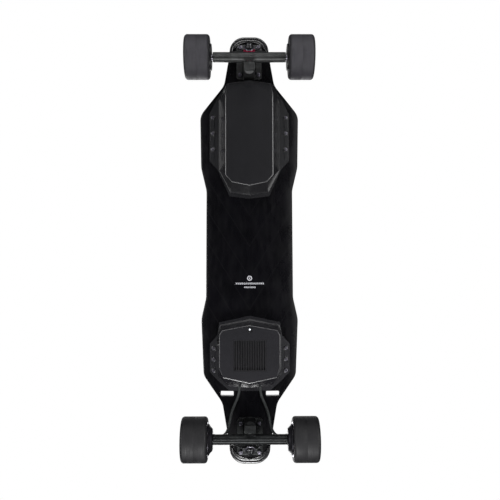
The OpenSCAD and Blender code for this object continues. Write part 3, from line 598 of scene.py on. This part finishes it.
def light(name, at, to, size, power):
    """A rectangular lamp that the camera doesn't see."""
    lamp = bpy.data.lights.new(name, "AREA")
    lamp.shape = "RECTANGLE"
    lamp.size, lamp.size_y = size
    lamp.energy = power
    obj = placed(name, lamp, at)
    look = Vector(to) - Vector(at)
    aim(obj, look, Vector((0, 1, 0)) if abs(look.normalized().y) < 0.9 else Vector((0, 0, 1)))
    obj.visible_camera = False


camera_data = bpy.data.cameras.new("camera")
camera_data.lens = LENS
camera_data.sensor_width = SENSOR
camera_data.clip_end = FAR_CLIP
camera = placed("camera", camera_data, CAMERA_AT)
aim(camera, CAMERA_LOOK, CAMERA_UP)
scene.camera = camera

light("nose_strip", (0, 1.75, -1.1), (0, 0.2, 0.08), (1.9, 0.3), 9)
light("tail_strip", (0, -1.75, -1.1), (0, -0.2, 0.08), (1.9, 0.3), 8)
light("nose_low", (0, 2.1, -0.3), (0, 0.3, 0.08), (1.4, 0.4), 1)
light("tail_low", (0.05, -0.94, -0.5), (0.02, -0.48, 0.11), (0.36, 0.16), 3.6)
light("bright_side", (-1.25, 0.1, -1.15), (0, 0, 0.08), (0.6, 2.0), 17)
light("dim_side", (1.45, 0.1, -1.0), (0, 0, 0.08), (0.6, 2.0), 14)
light("top_softbox", (0.4, 0.2, 2.6), (0, 0, 0.1), (2.4, 2.4), 22)
sunlight = bpy.data.lights.new("sunlight", "SUN")
sunlight.energy = SUN_POWER
sunlight.angle = SUN_ANGLE
placed("sunlight", sunlight).rotation_euler = SUN_TURN


def studio():
    """A white backdrop for the camera, and a faint light from all round for everything else."""
    scene.world = bpy.data.worlds.new("studio")
    sky = Nodes(scene.world)
    given = sky.tree.nodes["Background"]
    sky.feed(given, {0: SKY_COLOUR, 1: SKY_STRENGTH})
    shown = sky.add("MixShader", {0: sky.add("LightPath", {}, "Is Camera Ray"), 1: given.outputs[0],
                                  2: sky.add("Background", {0: (1, 1, 1)})})
    sky.feed(sky.tree.nodes["World Output"], {0: shown})
    scene.view_settings.view_transform = "Standard"


def floor():
    """A pale floor that shows only from above, so that it doesn't hide the board from below."""
    mesh = bpy.data.meshes.new("studio_floor")
    corners = [(x * FLOOR_REACH, y * FLOOR_REACH, 0) for x, y in ((-1, -1), (1, -1), (1, 1), (-1, 1))]
    mesh.from_pydata(corners, [], [(0, 1, 2, 3)])
    obj = placed("studio_floor", mesh)
    look = Look("studio_floor")
    look.finish(look.mixed(look.ranged(look.noise(3, 3)), (0.76, 0.76, 0.77), (0.8, 0.8, 0.81)), 0.8)
    shown = look.add("MixShader", {0: look.add("NewGeometry", {}, "Backfacing"), 1: look.shader.outputs[0],
                                   2: look.add("BsdfTransparent", {})})
    look.feed(look.tree.nodes["Material Output"], {0: shown})
    mesh.materials.append(M["studio_floor"])
    obj.visible_diffuse = obj.visible_glossy = obj.visible_transmission = obj.visible_shadow = False


studio()
floor()

# ---------------- deck, grip tape and bumpers

OUTLINE = resampled(rounded(both(DECK_CORNERS), 5), OUTLINE_STEP)
INWARD = inward(OUTLINE)


def bumper_width(point, normal):
    """How wide the end bumper is at a point of the outline, along the inward normal."""
    if abs(point[1]) < DECK_LENGTH / 2 - BUMPER_LONG:
        return 0.0
    centre_y = copysign(DECK_LENGTH / 2 - BUMPER_REACH - BUMPER_R, point[1])
    away = np.array([point[0], point[1] - centre_y])
    b, c = float(away @ normal), float(away @ away) - BUMPER_R ** 2
    return 0.0 if c <= 0 or b * b <= c else max(0.0, -b - sqrt(b * b - c))


BUMPER_W = [bumper_width(p, n) for p, n in zip(OUTLINE, INWARD)]


def slab(name, insets, profile, slot, node):
    """A sheet that follows the deck's curve. The profile goes round its rim from the bottom face to the top
    face as (inset, height above the underside)."""
    verts, faces, steps = [], [], SHEET_STEPS
    limit = DECK_LENGTH / 2 - SPINE_INSET
    for p, n, inset in zip(OUTLINE, INWARD, insets):
        rim = [(p[0] + n[0] * (inset + d), p[1] + n[1] * (inset + d), h) for d, h in profile]
        spine = (0.0, max(-limit, min(limit, p[1])))
        under, over = ([(*between(spine, edge[:2], k / steps), edge[2]) for k in range(steps)]
                       for edge in (rim[0], rim[-1]))
        verts += [(x, y, UNDER_Z + bow(x) + h) for x, y, h in under + rim + over[::-1]]
    n, m = len(OUTLINE), len(profile) + 2 * steps
    for i in range(n):
        faces += quads(row(i, m), row((i + 1) % n, m), closed=False)
    return piece(name, verts, faces, "board", slot, [node], weld=2e-5)


def rail(radius, low, high):
    """A rim with a rounded lower and upper edge."""
    turns = [radians(a) for a in (0, 22.5, 45, 67.5, 90)]
    bend = [(radius * (1 - sin(a)), radius * (1 - cos(a))) for a in turns]
    return [(d, low + h) for d, h in bend] + [(h, high - d) for d, h in bend]


def slot_cutters():
    """Shapes for the two strap slots."""
    plan = rounded([(x, y, SLOT_ROUND) for x, y in box_plan(*SLOT_HALF)], 15)
    return [loose("slot", *prism([(side * SLOT_X + x, SLOT_Y + y) for x, y in plan], *SLOT_THROUGH))
            for side in (LEFT, RIGHT)]


def bolt_places():
    """Where the eight deck bolts are."""
    return [(x, end * (AXLE_Y + out)) for end in (FRONT, REAR) for x in (-BOLT_X, BOLT_X) for out in BOLT_OUT]


def make_deck():
    """The plank with its two slots, and the sheet of grip tape on it with a hole round each bolt."""
    insets = [min(BUMPER_SEAT, w) for w in BUMPER_W]
    plank = slab("deck_plank", insets, rail(RAIL_R, 0, DECK_T), "deck_lacquer", "deck")
    soften(cut(plank, slot_cutters()), 0.8, 50, 2)
    insets = [max(GRIP_MARGIN, w + 0.8 if w else 0) for w in BUMPER_W]
    rim = [(0, DECK_T + 0.02), (0, DECK_T + GRIP_T * 0.7), (0.25, DECK_T + GRIP_T)]
    grip = slab("grip_sheet", insets, rim, "grip", "grip_tape")
    holes = [loose("hole", *rod(GRIP_HOLE_R, *HOLE_THROUGH, frame_at(x, y, 0))) for x, y in bolt_places()]
    cut(grip, slot_cutters() + holes)


def bumper_section(w):
    """A bumper's section where it's w wide: (distance in from the rim, height above the underside)."""
    top, low, seat = DECK_T + BUMPER_LIP, -BUMPER_LIP, min(w, BUMPER_SEAT)
    section = [(w, DECK_T + 0.2), (w - 0.2, top - 0.5), (w - 1, top), (3, top), (1.2, top - 0.5),
               (0.3, top - 1.6), (0, top - 3.2), (0, low + 3.2), (0.3, low + 1.6), (1.2, low + 0.5), (3, low)]
    for groove in (6, 11):
        section += [(groove, low), (groove + 0.6, low + 0.6), (groove + 1.4, low + 0.6), (groove + 2, low)]
    section += [(w - 1, low), (w - 0.2, low + 0.5), (w, -0.2), (seat, -0.1), (seat, DECK_T + 0.1)]
    return [(max(0.0, min(d, w)), h) for d, h in section]


def make_bumper(name, node, end):
    """A moulded guard swept along the tip's outline, with two shallow grooves under its lip."""
    order = [i for i in range(len(OUTLINE)) if OUTLINE[i][1] * end > 0 and BUMPER_W[i] > 0.3]
    gap = next((k for k in range(1, len(order)) if order[k] != order[k - 1] + 1), 0)
    verts, rows = [], []
    for i in order[gap:] + order[:gap]:
        spots = [(*(OUTLINE[i] + INWARD[i] * d), h) for d, h in bumper_section(BUMPER_W[i])]
        rows.append(grow(verts, [(x, y, UNDER_Z + bow(x) + h) for x, y, h in spots]))
    faces = [face for a, b in zip(rows, rows[1:]) for face in quads(a, b)]
    piece(name, verts, faces + [rows[0], rows[-1]], "board", "bumper_rubber", [node], weld=2e-5)


make_deck()
make_bumper("nose_guard", "nose_bumper", FRONT)
make_bumper("tail_guard", "tail_bumper", REAR)

# ---------------- the two boxes

def make_cover(name, node, floor, base, rim, floor_z, ridge, slot, holes=()):
    """A moulded box: a faceted pan whose skirt meets a thin flange on the deck's curve.

    Each hole is the right half of an outline across the ridge, from its rear to its front.
    """
    top, foot, edge = both(floor), both(base), both(rim)
    wide = max(x for x, y in floor)
    lift = SEAL + FLANGE

    def pan_z(x):
        """The flat's height, with its ridge along the middle."""
        return floor_z - ridge * (1 - abs(x) / wide)

    verts, top_ring, foot_ring = [], [], []
    for a, b, t in split_loop(top, PAN_STEP):
        p, q = between(top[a], top[b], t), between(foot[a], foot[b], t)
        low, share = pan_z(p[0]), 0.8
        for _ in range(4):
            x = p[0] + (q[0] - p[0]) * share
            share = (UNDER_Z + bow(x) - lift - low) / (UNDER_Z + BASE_RISE - low)
        x, y = between(p, q, share)
        top_ring.append(len(verts))
        foot_ring.append(len(verts) + 1)
        verts += [(*p, low), (x, y, UNDER_Z + bow(x) - lift)]
    faces = quads(top_ring, foot_ring) + flat_of(verts, top_ring, holes, pan_z)
    rim_ring = grow(verts, [(x, y, UNDER_Z + bow(x) - lift) for x, y in resampled(edge, FLANGE_STEP)])
    cover = piece(name, verts, faces + bridge(verts, foot_ring, rim_ring), "board", slot, [node])
    if sum(face.normal.z * face.area for face in cover.data.polygons) > 0:
        cover.data.flip_normals()
    round_plateau(cover, (floor_z + 0.01) / 1000)
    modifier(cover, "SOLIDIFY", thickness=WALL / 1000, offset=-1, use_even_offset=True)
    freeze(cover)
    for polygon in cover.data.polygons:
        polygon.use_smooth = abs(polygon.normal.z) < FLAT_NORMAL_Z
    bevel(cover, 0.8, 17, 3)
    modifier(cover, "WEIGHTED_NORMAL", keep_sharp=True)


def flat_of(verts, ring, holes, low):
    """The flat's faces: a half on each side of a narrow ridge strip, all of them round the holes."""
    halves = [[i for i in ring if verts[i][0] > 0], [i for i in ring if verts[i][0] < 0]]
    seams, last = [(halves[0][-1], halves[1][0])], halves[1][-1]
    for hole in holes:
        sides = []
        for side in (RIGHT, LEFT):
            sides.append(grow(verts, [(side * x, y, low(x)) for x, y in hole]))
        seams += [(sides[0][0], sides[1][0]), (sides[0][-1], sides[1][-1])]
        halves = [halves[0] + sides[0], sides[1][::-1] + halves[1]]
    seams.append((halves[0][0], last))
    return halves + [[*seams[k], *seams[k + 1][::-1]] for k in range(0, len(seams), 2)]


def round_plateau(cover, below):
    """Rounds the edges round a pan's flat, those that lie wholly under a height."""
    work = bmesh.new()
    work.from_mesh(cover.data)
    weight = work.edges.layers.float.new("bevel_weight_edge")
    for edge in work.edges:
        folded = len(edge.link_faces) == 2 and edge.calc_face_angle() > radians(20)
        if folded and all(v.co.z <= below for v in edge.verts):
            edge[weight] = 1
    work.to_mesh(cover.data)
    work.free()
    modifier(cover, "BEVEL", width=EDGE_ROUND / 1000, segments=5, limit_method="WEIGHT")
    freeze(cover)


def bridge(verts, inner, outer):
    """Triangles between two closed rings that go round the same way."""
    middle = sum(verts[i][1] for i in outer) / len(outer)

    def turn(i):
        return atan2(verts[i][0], verts[i][1] - middle)

    a, b = sorted(inner, key=turn), sorted(outer, key=turn)
    faces, i, j = [], 0, 0
    while i < len(a) or j < len(b):
        if j >= len(b) or (i < len(a) and turn(a[i]) <= turn(b[j])):
            faces.append([a[i - 1], a[i], b[j - 1]])
            i += 1
        else:
            faces.append([a[i - 1], b[j], b[j - 1]])
            j += 1
    return faces


SINK_X1, SINK_REACH = SINK_W / 2 + SINK_GAP, SINK_L / 2 + SINK_GAP
SINK_HOLE = [(1, SINK_Y - SINK_REACH), (SINK_X1, SINK_Y - SINK_REACH), (SINK_X1, SINK_Y + SINK_REACH),
             (1, SINK_Y + SINK_REACH)]
BUTTON_HOLE = [(BUTTON_HOLE_R * cos(a), BUTTON_Y + BUTTON_HOLE_R * sin(a))
               for a in np.linspace(-BUTTON_HOLE_END, BUTTON_HOLE_END, 13)]
make_cover("battery_box", "battery_cover", BATTERY_FLOOR, BATTERY_BASE, BATTERY_FLANGE, BATTERY_Z,
           BATTERY_RIDGE, "battery_plastic")
make_cover("controller_box", "esc_cover", ESC_FLOOR, ESC_BASE, ESC_FLANGE, ESC_Z, ESC_RIDGE, "esc_plastic",
           [SINK_HOLE, BUTTON_HOLE])

# ---------------- turned and hexagonal shapes

def hexagon(apothem, angle):
    """The radius of a hexagon, with a corner at angle 0."""
    return apothem / cos(angle % (pi / 3) - pi / 6)


def hex_nut(place, apothem, low, high, bore, collar=0.0):
    """A chamfered hexagonal nut, with a locking collar above it."""
    def profile(angle):
        r = hexagon(apothem, angle)
        drop = (r - apothem * 0.985) * 0.55
        loop = [(bore, low), (apothem * 0.985, low), (r, low + drop), (r, high - drop),
                (apothem * 0.985, high)]
        if collar:
            loop += [(apothem * 0.92, high + 0.02), (apothem * 0.92, high + collar * 0.7),
                     (apothem * 0.84, high + collar)]
        return loop + [(bore, high + collar)]
    return swept(profile, place, 72)


def socket_head(place, radius, low, high, key):
    """A screw head with a hexagonal socket."""
    def profile(angle):
        r = hexagon(key, angle)
        return [(0, low), (radius, low), (radius, high - 0.5), (radius - 0.18, high - 0.15),
                (radius - 0.5, high), (r + 0.15, high), (r, high - 0.15), (r, high - 1.4), (0, high - 1.4)]
    return swept(profile, place, 48)


def thread(radius, low, high, pitch, depth):
    """The points of a threaded length of a turned profile."""
    turns = max(1, round((high - low) / pitch))
    step = (high - low) / turns
    return [p for k in range(turns)
            for p in ((radius - depth, low + k * step), (radius, low + (k + 0.5) * step))]


def lathe(name, profile, place, body, slot, replaces=(), sides=128):
    """A turned piece on a body."""
    return piece(name, *turned(profile, place, sides), body, slot, replaces)


def joined(name, solids, body, slot, replaces=(), finish=None):
    """Several solids as one piece on a body."""
    return piece(name, *merged(*solids), body, slot, replaces, finish)


def gathered(name, objects, body, slot, replaces):
    """Several throw-away objects as one piece."""
    work, mesh = bmesh.new(), bpy.data.meshes.new(name)
    for obj in objects:
        work.from_mesh(obj.data)
        bpy.data.objects.remove(obj)
    work.to_mesh(mesh)
    work.free()
    return dress(placed(name, mesh), body, slot, replaces)


def creased(obj, angle=32):
    """Marks the edges that stay sharp in the shading."""
    obj.data.set_sharp_from_angle(angle=radians(angle))


def refine(node, width, angle=35):
    """Rounds a CAD node's edges and cleans up its shading."""
    obj = frame["nodes"][node]
    modifier(obj, "WELD", merge_threshold=CAD_WELD)
    modifier(obj, "DECIMATE", decimate_type="DISSOLVE", angle_limit=radians(0.7))
    bevel(obj, width, angle, 2)
    modifier(obj, "WEIGHTED_NORMAL", keep_sharp=False)
    obj.data.shade_smooth()


def cast(name, node, body, slot, finish):
    """A cast part: the CAD shape with its edges and inner corners softened."""
    mesh = frame["nodes"][node].data.copy()
    mesh.name = name
    obj = placed(name, mesh)
    modifier(obj, "WELD", merge_threshold=CAD_WELD)
    modifier(obj, "REMESH", mode="VOXEL", voxel_size=CAST_VOXEL / 1000)
    modifier(obj, "SMOOTH", factor=0.5, iterations=CAST_ROUNDS)
    freeze(obj)
    return dress(obj, body, slot, [node], finish)


# ---------------- small parts on the board

def heat_sink():
    """Cooling fins between two end walls, on a flanged plate that sits behind the cover's face."""
    face, behind, root = ESC_Z + 0.3, ESC_Z + WALL + 0.05, ESC_Z + FIN_DEPTH + 0.3
    half, y0, y1, meet = SINK_W / 2, SINK_Y - SINK_L / 2, SINK_Y + SINK_L / 2, root + 0.1
    x1, low, high = half + SINK_RIM, y0 - SINK_RIM, y1 + SINK_RIM
    solids = [block(*corners) for corners in (
        ((-x1, low, root), (x1, high, ESC_Z + WALL + 5.6)), ((-half, y0, face), (half, y0 + SINK_WALL, meet)),
        ((-half, y1 - SINK_WALL, face), (half, y1, meet)), ((-x1, low, behind), (x1, y0 + 0.1, meet)),
        ((-x1, y1 - 0.1, behind), (x1, high, meet)), ((-x1, y0, behind), (-half + 0.1, y1, meet)),
        ((half - 0.1, y0, behind), (x1, y1, meet)))]
    pitch = SINK_W / (SINK_FINS - 0.5)
    for i in range(SINK_FINS):
        x = -half + i * pitch
        solids.append(block((x, y0 + 1.4, face), (x + pitch / 2, y1 - 1.4, meet)))
    soften(joined("finned_sink", solids, "board", "sink_aluminium", ["heat_sink"]), 0.3, 40, 2)


def cover_screw_heads():
    """The covers' screws, with a raised ring round each and raised pads between them."""
    lift, heads = SEAL + FLANGE, []
    for place in (on_deck(side * x, y) @ FLIP for x, y in SCREWS for side in (LEFT, RIGHT)):
        heads += [socket_head(place, 3.7, lift, lift + 2.2, 1.5), rod(1.5, -6.9, lift + 0.2, place, 24)]
    creased(joined("cover_screw_heads", heads, "board", "black_steel", ["cover_screws"]))
    ring = [(4.1, lift - 0.4), (4.1, lift + 1.1), (4.4, lift + 1.4), (5.2, lift + 1.4), (5.7, lift + 0.9),
            (6, lift - 0.4)]
    for word, slot, screws, pads in (("battery", "battery_plastic", SCREWS[:3], BATTERY_PADS),
                                     ("controller", "esc_plastic", SCREWS[3:], ESC_PADS)):
        solids = []
        for side in (LEFT, RIGHT):
            solids += [turned(ring, on_deck(side * x, y) @ FLIP, 48) for x, y in screws]
            for x, y, long in pads:
                place = on_deck(side * x, y) @ FLIP
                plan = rounded([(*corner, 1.5) for corner in box_plan(4.2, long / 2)], 15)
                verts, faces = prism(plan, lift - 0.4, lift + 1.5)
                solids.append(([place @ Vector(v) for v in verts], faces))
        soften(joined(word + "_flange_relief", solids, "board", slot), 0.5, 40, 3)


def deck_bolt_set():
    """The deck bolts, with cross slots in their heads, and their lock nuts."""
    solids = []
    low, under, top = BOLT_ENDS
    for x, y in bolt_places():
        place = frame_at(x, y, 0)
        shank = [(0, low), (2.0, low)] + thread(2.5, low + 0.4, 97.5, 0.8, 0.3)
        shank += [(2.5, 97.6), (2.5, top - 2.5), (5, top - 0.05), (4.9, top), (0, top)]
        bolt = loose("deck_bolt", *turned(shank, place, 40))
        cut(bolt, [loose("cross", *block((x - a, y - b, top - 1.5), (x + a, y + b, top + 1)))
                   for a, b in ((2.4, 0.45), (0.45, 2.4))])
        solids += [bolt, loose("deck_nut", *hex_nut(place @ FLIP, 3.98, -under, -under + 3.6, 2.45, 1.4))]
    creased(gathered("deck_bolt_set", solids, "board", "zinc_steel", ["deck_bolts"]))


def button():
    """The power button: a housing with two lugs, a cap that moves and a light in its middle."""
    place = frame_at(0, BUTTON_Y, ESC_Z)
    bezel = [(5.9, 0.6), (6.1, 0.3), (6.4, 0.2), (6.7, 0.25), (6.95, 0.5), (6.95, 11.4), (0, 11.4), (0, 9.9),
             (5.9, 9.9)]
    cap = [(1.9, 0.75), (2.1, 0.6), (3.4, 0.55), (4.9, 0.4), (5.3, 0.5), (5.5, 0.8), (5.5, 6), (1.9, 6)]
    guide = [(0, 0.55), (0.7, 0.58), (1.2, 0.68), (1.6, 0.95), (1.6, 9.85), (0, 9.85)]
    housing = lathe("button_bezel", bezel, place, "board", "button_plastic", ["button_housing"], 96)
    lugs = block((-7.8, BUTTON_Y - 3.5, ESC_Z + WALL + 0.02), (7.8, BUTTON_Y + 3.5, ESC_Z + 4.4))
    core = loose("core", *rod(5.9, 0, 9.9, place, 96))
    fuse(housing, [loose("lugs", *lugs)])
    soften(cut(housing, [core]), 0.12, 40, 2)
    lathe("button_cap", cap, place, "power_button", "button_plastic", ["power_button"], 96)
    lathe("button_light", guide, place, "board", "light_guide", ["status_light"], 64)


def charging_cap():
    """The socket's rubber cap, with a rim, a plug behind it and a tab to pull."""
    place = frame_at(0, PORT_Y, PORT_Z, pi / 2, "Y")
    low, high = PORT_X + 0.3, PORT_X + 2.1
    profile = [(0, low - 5.3), (2.3, low - 5.3), (2.7, low - 4.9), (2.7, low), (8.7, low), (9, low + 0.3),
               (9, high - 0.7), (8.7, high - 0.2), (8.2, high), (6.6, high), (6.3, high - 0.35),
               (5.9, high - 0.35), (5.6, high), (0, high)]
    cap = lathe("charge_cap_moulding", profile, place, "charge_cap", "black_rubber", ["charge_cap"], 96)
    plan = rounded([(6, 2.5, 0), (13, 2.5, 2.4), (13, -2.5, 2.4), (6, -2.5, 0)], 12)
    verts, faces = prism(plan, low + 0.01, high - 0.4)
    fuse(cap, [loose("tab", [place @ Vector(v) for v in verts], faces)])
    soften(cap, 0.25, 40, 2)


def smooth_path(points, per=6):
    """A Catmull-Rom curve through points."""
    p = [Vector(points[0]) * 2 - Vector(points[1])] + [Vector(v) for v in points]
    p.append(p[-1] * 2 - p[-2])
    path = []
    for i in range(1, len(p) - 2):
        for k in range(per):
            t = k / per
            path.append(0.5 * ((2 * p[i]) + (p[i + 1] - p[i - 1]) * t
                               + (2 * p[i - 1] - 5 * p[i] + 4 * p[i + 1] - p[i + 2]) * t * t
                               + (3 * p[i] - p[i - 1] - 3 * p[i + 1] + p[i + 2]) * t ** 3))
    return path + [p[-2]]


def motor_lead(side, name, node):
    """A braided cable with a ribbed sleeve over its end at the motor."""
    path = smooth_path([(side * x, y, UNDER_Z + z) for x, y, z in CABLE_ROUTE])
    far = [0.0]
    for a, b in zip(path, path[1:]):
        far.append(far[-1] + (b - a).length)
    verts, sides, up = [], 20, Vector((1, 0, 0))
    last = len(path) - 1
    for i, spot in enumerate(path):
        along = (path[min(i + 1, last)] - path[max(i - 1, 0)]).normalized()
        across = along.cross(up).normalized()
        up = across.cross(along).normalized()
        sleeved = far[-1] - far[i] < SLEEVE_LONG
        r = CABLE_D / 2 - 0.12 + (SLEEVE_T if sleeved else 0.0) - (SLEEVE_RIB if sleeved and i % 2 else 0)
        if i in (0, last):
            r = min(r, CABLE_D / 2)
        for k in range(sides):
            a = 2 * pi * k / sides
            weave = 0 if sleeved else BRAID * sin(5 * a + far[i] * 1.6) * sin(5 * a - far[i] * 1.6)
            verts.append(spot + (across * cos(a) + up * sin(a)) * (r + weave))
    faces = [face for i in range(last) for face in quads(row(i, sides), row(i + 1, sides))]
    faces += [row(0, sides), row(last, sides)]
    lead = piece(name, verts, faces, None, "cable_jacket", [node])
    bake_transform(lead)


heat_sink()
cover_screw_heads()
deck_bolt_set()
button()
charging_cap()
motor_lead(LEFT, "left_motor_lead", "left_motor_cable")
motor_lead(RIGHT, "right_motor_lead", "right_motor_cable")

# ---------------- trucks

def truck(end, word, slot, metal):
    """One truck's castings, bushings, washers, kingpin and lock nut. The castings take the finish metal,
    which on the rear truck is a darker copy of the cast aluminium: painted shade.
    """
    ring = at_ring(end)
    cast(word + "_hanger_casting", word + "_hanger", word + "_truck", "cast_aluminium", metal)
    cast(word + "_baseplate_casting", word + "_baseplate", "board", "cast_aluminium", metal)
    discs = []
    for where, other, (low, high), free, disc_r, place in (
            ("upper", "board", BOARD_BUSHING, 12.2, 12.5, ring),
            ("lower", "road", ROAD_BUSHING, 11, 12, ring @ FLIP)):
        profile = rounded([(5.1, low, 0), (13.4, low, 0.9), (13.4, low + 5, 0.8), (12.4, low + 6.6, 0.8),
                           (free, high, 1.1), (5.1, high, 0)], 18)
        lathe(f"{word}_{where}_bushing", profile, place, "board", slot, [f"{word}_bushing_{other}_side"])
        disc = [(5, high, 0), (disc_r, high, 0.5), (disc_r, high + WASHER_T, 0.5), (5, high + WASHER_T, 0)]
        discs.append(turned(rounded(disc, 30), place))
    creased(joined(word + "_washers", discs, "board", "zinc_steel", [word + "_bushing_washers"]), 50)
    low = ROAD_BUSHING[1] + WASHER_T
    nut = hex_nut(ring @ FLIP, 7.95, low, low + 5.4, 5, 2.1)
    creased(joined(word + "_lock_nut", [nut], "board", "zinc_steel", [word + "_kingpin_nut"], "dark_steel"))
    stem = [(0, -28), (4.2, -28)] + thread(5, -27.6, -16, 1.2, 0.5) + [(5, -15.8), (5, 28.1), (0, 28.1)]
    bolt = [turned(stem, ring, 64), hex_nut(ring, 7.53, 28, 34, 0.0)]
    creased(joined(word + "_kingpin_bolt", bolt, "board", "zinc_steel", [word + "_kingpin"], "dark_steel"))
    refine(word + "_riser", 0.3)
    refine(word + "_pivot_cup", 0.2, 45)


truck(FRONT, "front", "red_urethane", "cast_aluminium")
# The rear castings take the darker copy of the cast aluminium, which is painted shade
truck(REAR, "rear", "black_urethane", "cast_aluminium_painted_shade")

# ---------------- tyres and front wheels

def tyre(word, slot, place, core, low, wide):
    """A cast tyre: rounded shoulders, a faint parting line and a shallow dish in each side."""
    high = low + wide
    middle = (low + high) / 2
    tread = rounded([(core, low + 0.6, 0), (core + 2.6, low + 0.6, 0.4), (core + 3.4, low, 0.4),
                     (TYRE_R, low, SHOULDER), (TYRE_R, high, SHOULDER), (core + 3.4, high, 0.4),
                     (core + 2.6, high - 0.6, 0.4), (core, high - 0.6, 0)], 7.5)
    split = next(i for i in range(len(tread)) if tread[i][0] > TYRE_R - 1e-6 and tread[i + 1][1] > middle)
    tread[split + 1:split + 1] = [(TYRE_R, middle - 0.5), (TYRE_R - 0.22, middle), (TYRE_R, middle + 0.5)]
    creased(lathe(word + "_tread", tread, place, word + "_wheel", slot, [word + "_tyre"], 192), 40)


def front_wheel(side, word):
    """A front tyre on its core, which has five round holes."""
    place = on_wheel(FRONT, side)
    tyre(word, "front_urethane", place, CORE_R, FRONT_INNER, FRONT_TYRE_W)
    out = FRONT_INNER + FRONT_TYRE_W - 1
    core = lathe(word + "_core", [
        (11, 82.9), (11.4, 82.5), (14, 82.5), (14.6, 83.5), (23.4, 83.5), (24, 82.5), (28, 82.5), (28.5, 83),
        (28.5, 86.4), (CORE_R, 86.4), (CORE_R, out), (29.2, out), (28.8, out - 0.8), (27, out - 0.8),
        (26.6, out - 1.6), (25, 127.6), (24.4, 127), (15, 127), (14.6, 127.4), (11.4, 127.4), (11, 127),
        (11, 118), (9, 118), (9, 95), (11, 95)], place, word + "_wheel", "hub_plastic", [word + "_hub"], 180)
    cut(core, [loose("hole", *rod(3.6, 119, 139, spot, 36)) for spot in round_axle(place, 5, 18.5)])
    soften(core, 0.3, 35, 2)
    refine(word + "_bearings", 0.12)


def axle_set():
    """The front axle, threaded at both ends, and its two lock nuts."""
    half = [(0, 134), (3.4, 134), (4, 133.4)] + thread(4, 125, 133.2, 0.9, 0.35)[::-1]
    profile = half + [(r, -h) for r, h in half[::-1]]
    creased(lathe("front_axle_bar", profile, on_wheel(FRONT, RIGHT), "front_truck", "zinc_steel",
                  ["front_axle"], 64))
    nuts = [hex_nut(on_wheel(FRONT, side), 6.4, 126.2, 130.6, 3.95, 1.9) for side in (LEFT, RIGHT)]
    creased(joined("axle_lock_nuts", nuts, "front_truck", "zinc_steel", ["front_axle_nuts"]))
    refine("front_inner_rings", 0.15)


front_wheel(LEFT, "front_left")
front_wheel(RIGHT, "front_right")
axle_set()

# ---------------- hub motors

def end_covers():
    """The motors' fixed end covers, each with twelve ribs and a fluted cable gland."""
    for side, word in ((LEFT, "left"), (RIGHT, "right")):
        place = on_wheel(REAR, side)
        cover = lathe(f"{word}_end_cover", [
            (20.2, 80.3), (20.5, 80), (22.3, 80), (22.9, 80.5), (25.2, 82.2), (25.6, 83.1), (30, 86.4),
            (30.6, 86.4), (32.7, 88), (33, 88.4), (33, 89.5), (9.2, 89.5), (9.2, 83.2), (20.2, 83.2)],
            place, "rear_truck", "motor_metal", (), 144)
        extras = []
        for k in range(12):
            turn = place @ frame_at(0, 0, 0, k * pi / 6 + pi / 12)
            corner = [(23.5, 81.9), (31.6, 88.3), (31.6, 89), (23.5, 89)]
            verts = [turn @ Vector((r, y, h)) for y in (-0.7, 0.7) for r, h in corner]
            extras.append(loose("rib", verts, [[0, 1, 2, 3], [4, 5, 6, 7], [0, 1, 5, 4], [1, 2, 6, 5],
                                               [2, 3, 7, 6], [3, 0, 4, 7]]))
        at_gland = frame_at(side * GLAND[0], *GLAND[1:], side * pi / 2, "Y")

        def fluted(angle):
            r = 5 - 0.35 * (0.5 + 0.5 * cos(12 * angle))
            return [(3.25, 0.1), (3.9, 0.1), (4.4, 0.7), (r, 1.2), (r, 5.4), (4.3, 6), (4.3, 12), (0, 12),
                    (0, 2), (3.25, 2)]
        fuse(cover, extras + [loose("gland", *swept(fluted, at_gland, 96))])
        soften(cover, 0.2, 35, 2)
        if side == LEFT:
            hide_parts("motor_end_covers")


def rear_wheel(side, word):
    """A rear tyre on its motor's turning can, with six cap screws and a bright rim on its inner side."""
    place = on_wheel(REAR, side)
    body = word + "_wheel"
    tyre(word, "rear_urethane", place, CAN_R, REAR_INNER, REAR_TYRE_W)
    low, cap, out = REAR_INNER + 0.5, 134, REAR_INNER + REAR_TYRE_W - 1.5
    can = lathe(word + "_can", [
        (0, 84.5), (3.5, 84.5), (3.95, 85), (3.95, cap), (31, cap), (31, low + 0.4), (31.4, low), (33.6, low),
        (34.4, low + 0.5), (CAN_R, low + 0.5), (CAN_R, out), (35.6, out), (33.5, out), (33, out - 0.6),
        (31.7, cap + 4.6), (31.2, cap + 4), (27.4, cap + 4), (27, cap + 3.4), (16.4, cap + 3.4),
        (16, cap + 4), (9, cap + 4), (8.4, cap + 3.5), (0, cap + 3.5)],
        place, body, "rotor_steel", [word + "_rotor"], 180)
    spots = round_axle(place, 6, 22)
    cut(can, [loose("hole", *rod(2.6, cap + 2.5, cap + 8, spot, 32)) for spot in spots])
    soften(can, 0.25, 35, 2)
    heads = [socket_head(spot, 2.35, cap + 2.5, cap + 4, 1.15) for spot in spots]
    creased(joined(word + "_cap_screws", heads, body, "black_steel"))
    rim = [(33.2, low - 0.35), (33.6, low - 0.45), (35.4, low - 0.45), (35.9, low + 0.1), (35.9, low + 0.45),
           (34.45, low + 0.45), (33.65, low - 0.05), (33.2, low - 0.05)]
    creased(lathe(word + "_rim", rim, place, body, "bearing_steel", (), 144), 50)
    refine(word + "_magnets", 0.2)


end_covers()
rear_wheel(LEFT, "rear_left")
rear_wheel(RIGHT, "rear_right")

# ---------------- parts kept from the CAD model

for kept, width in (("cover_seals", 0.2), ("battery_cells", 0.6), ("cell_holders", 0.4),
                    ("bms_board", 0.2), ("esc_board", 0.2), ("power_lead", 0.1), ("charge_port", 0.3),
                    ("motor_carriers", 0.3), ("motor_stators", 0.2), ("motor_windings", 1.2),
                    ("motor_bearings", 0.15)):
    refine(kept, width)
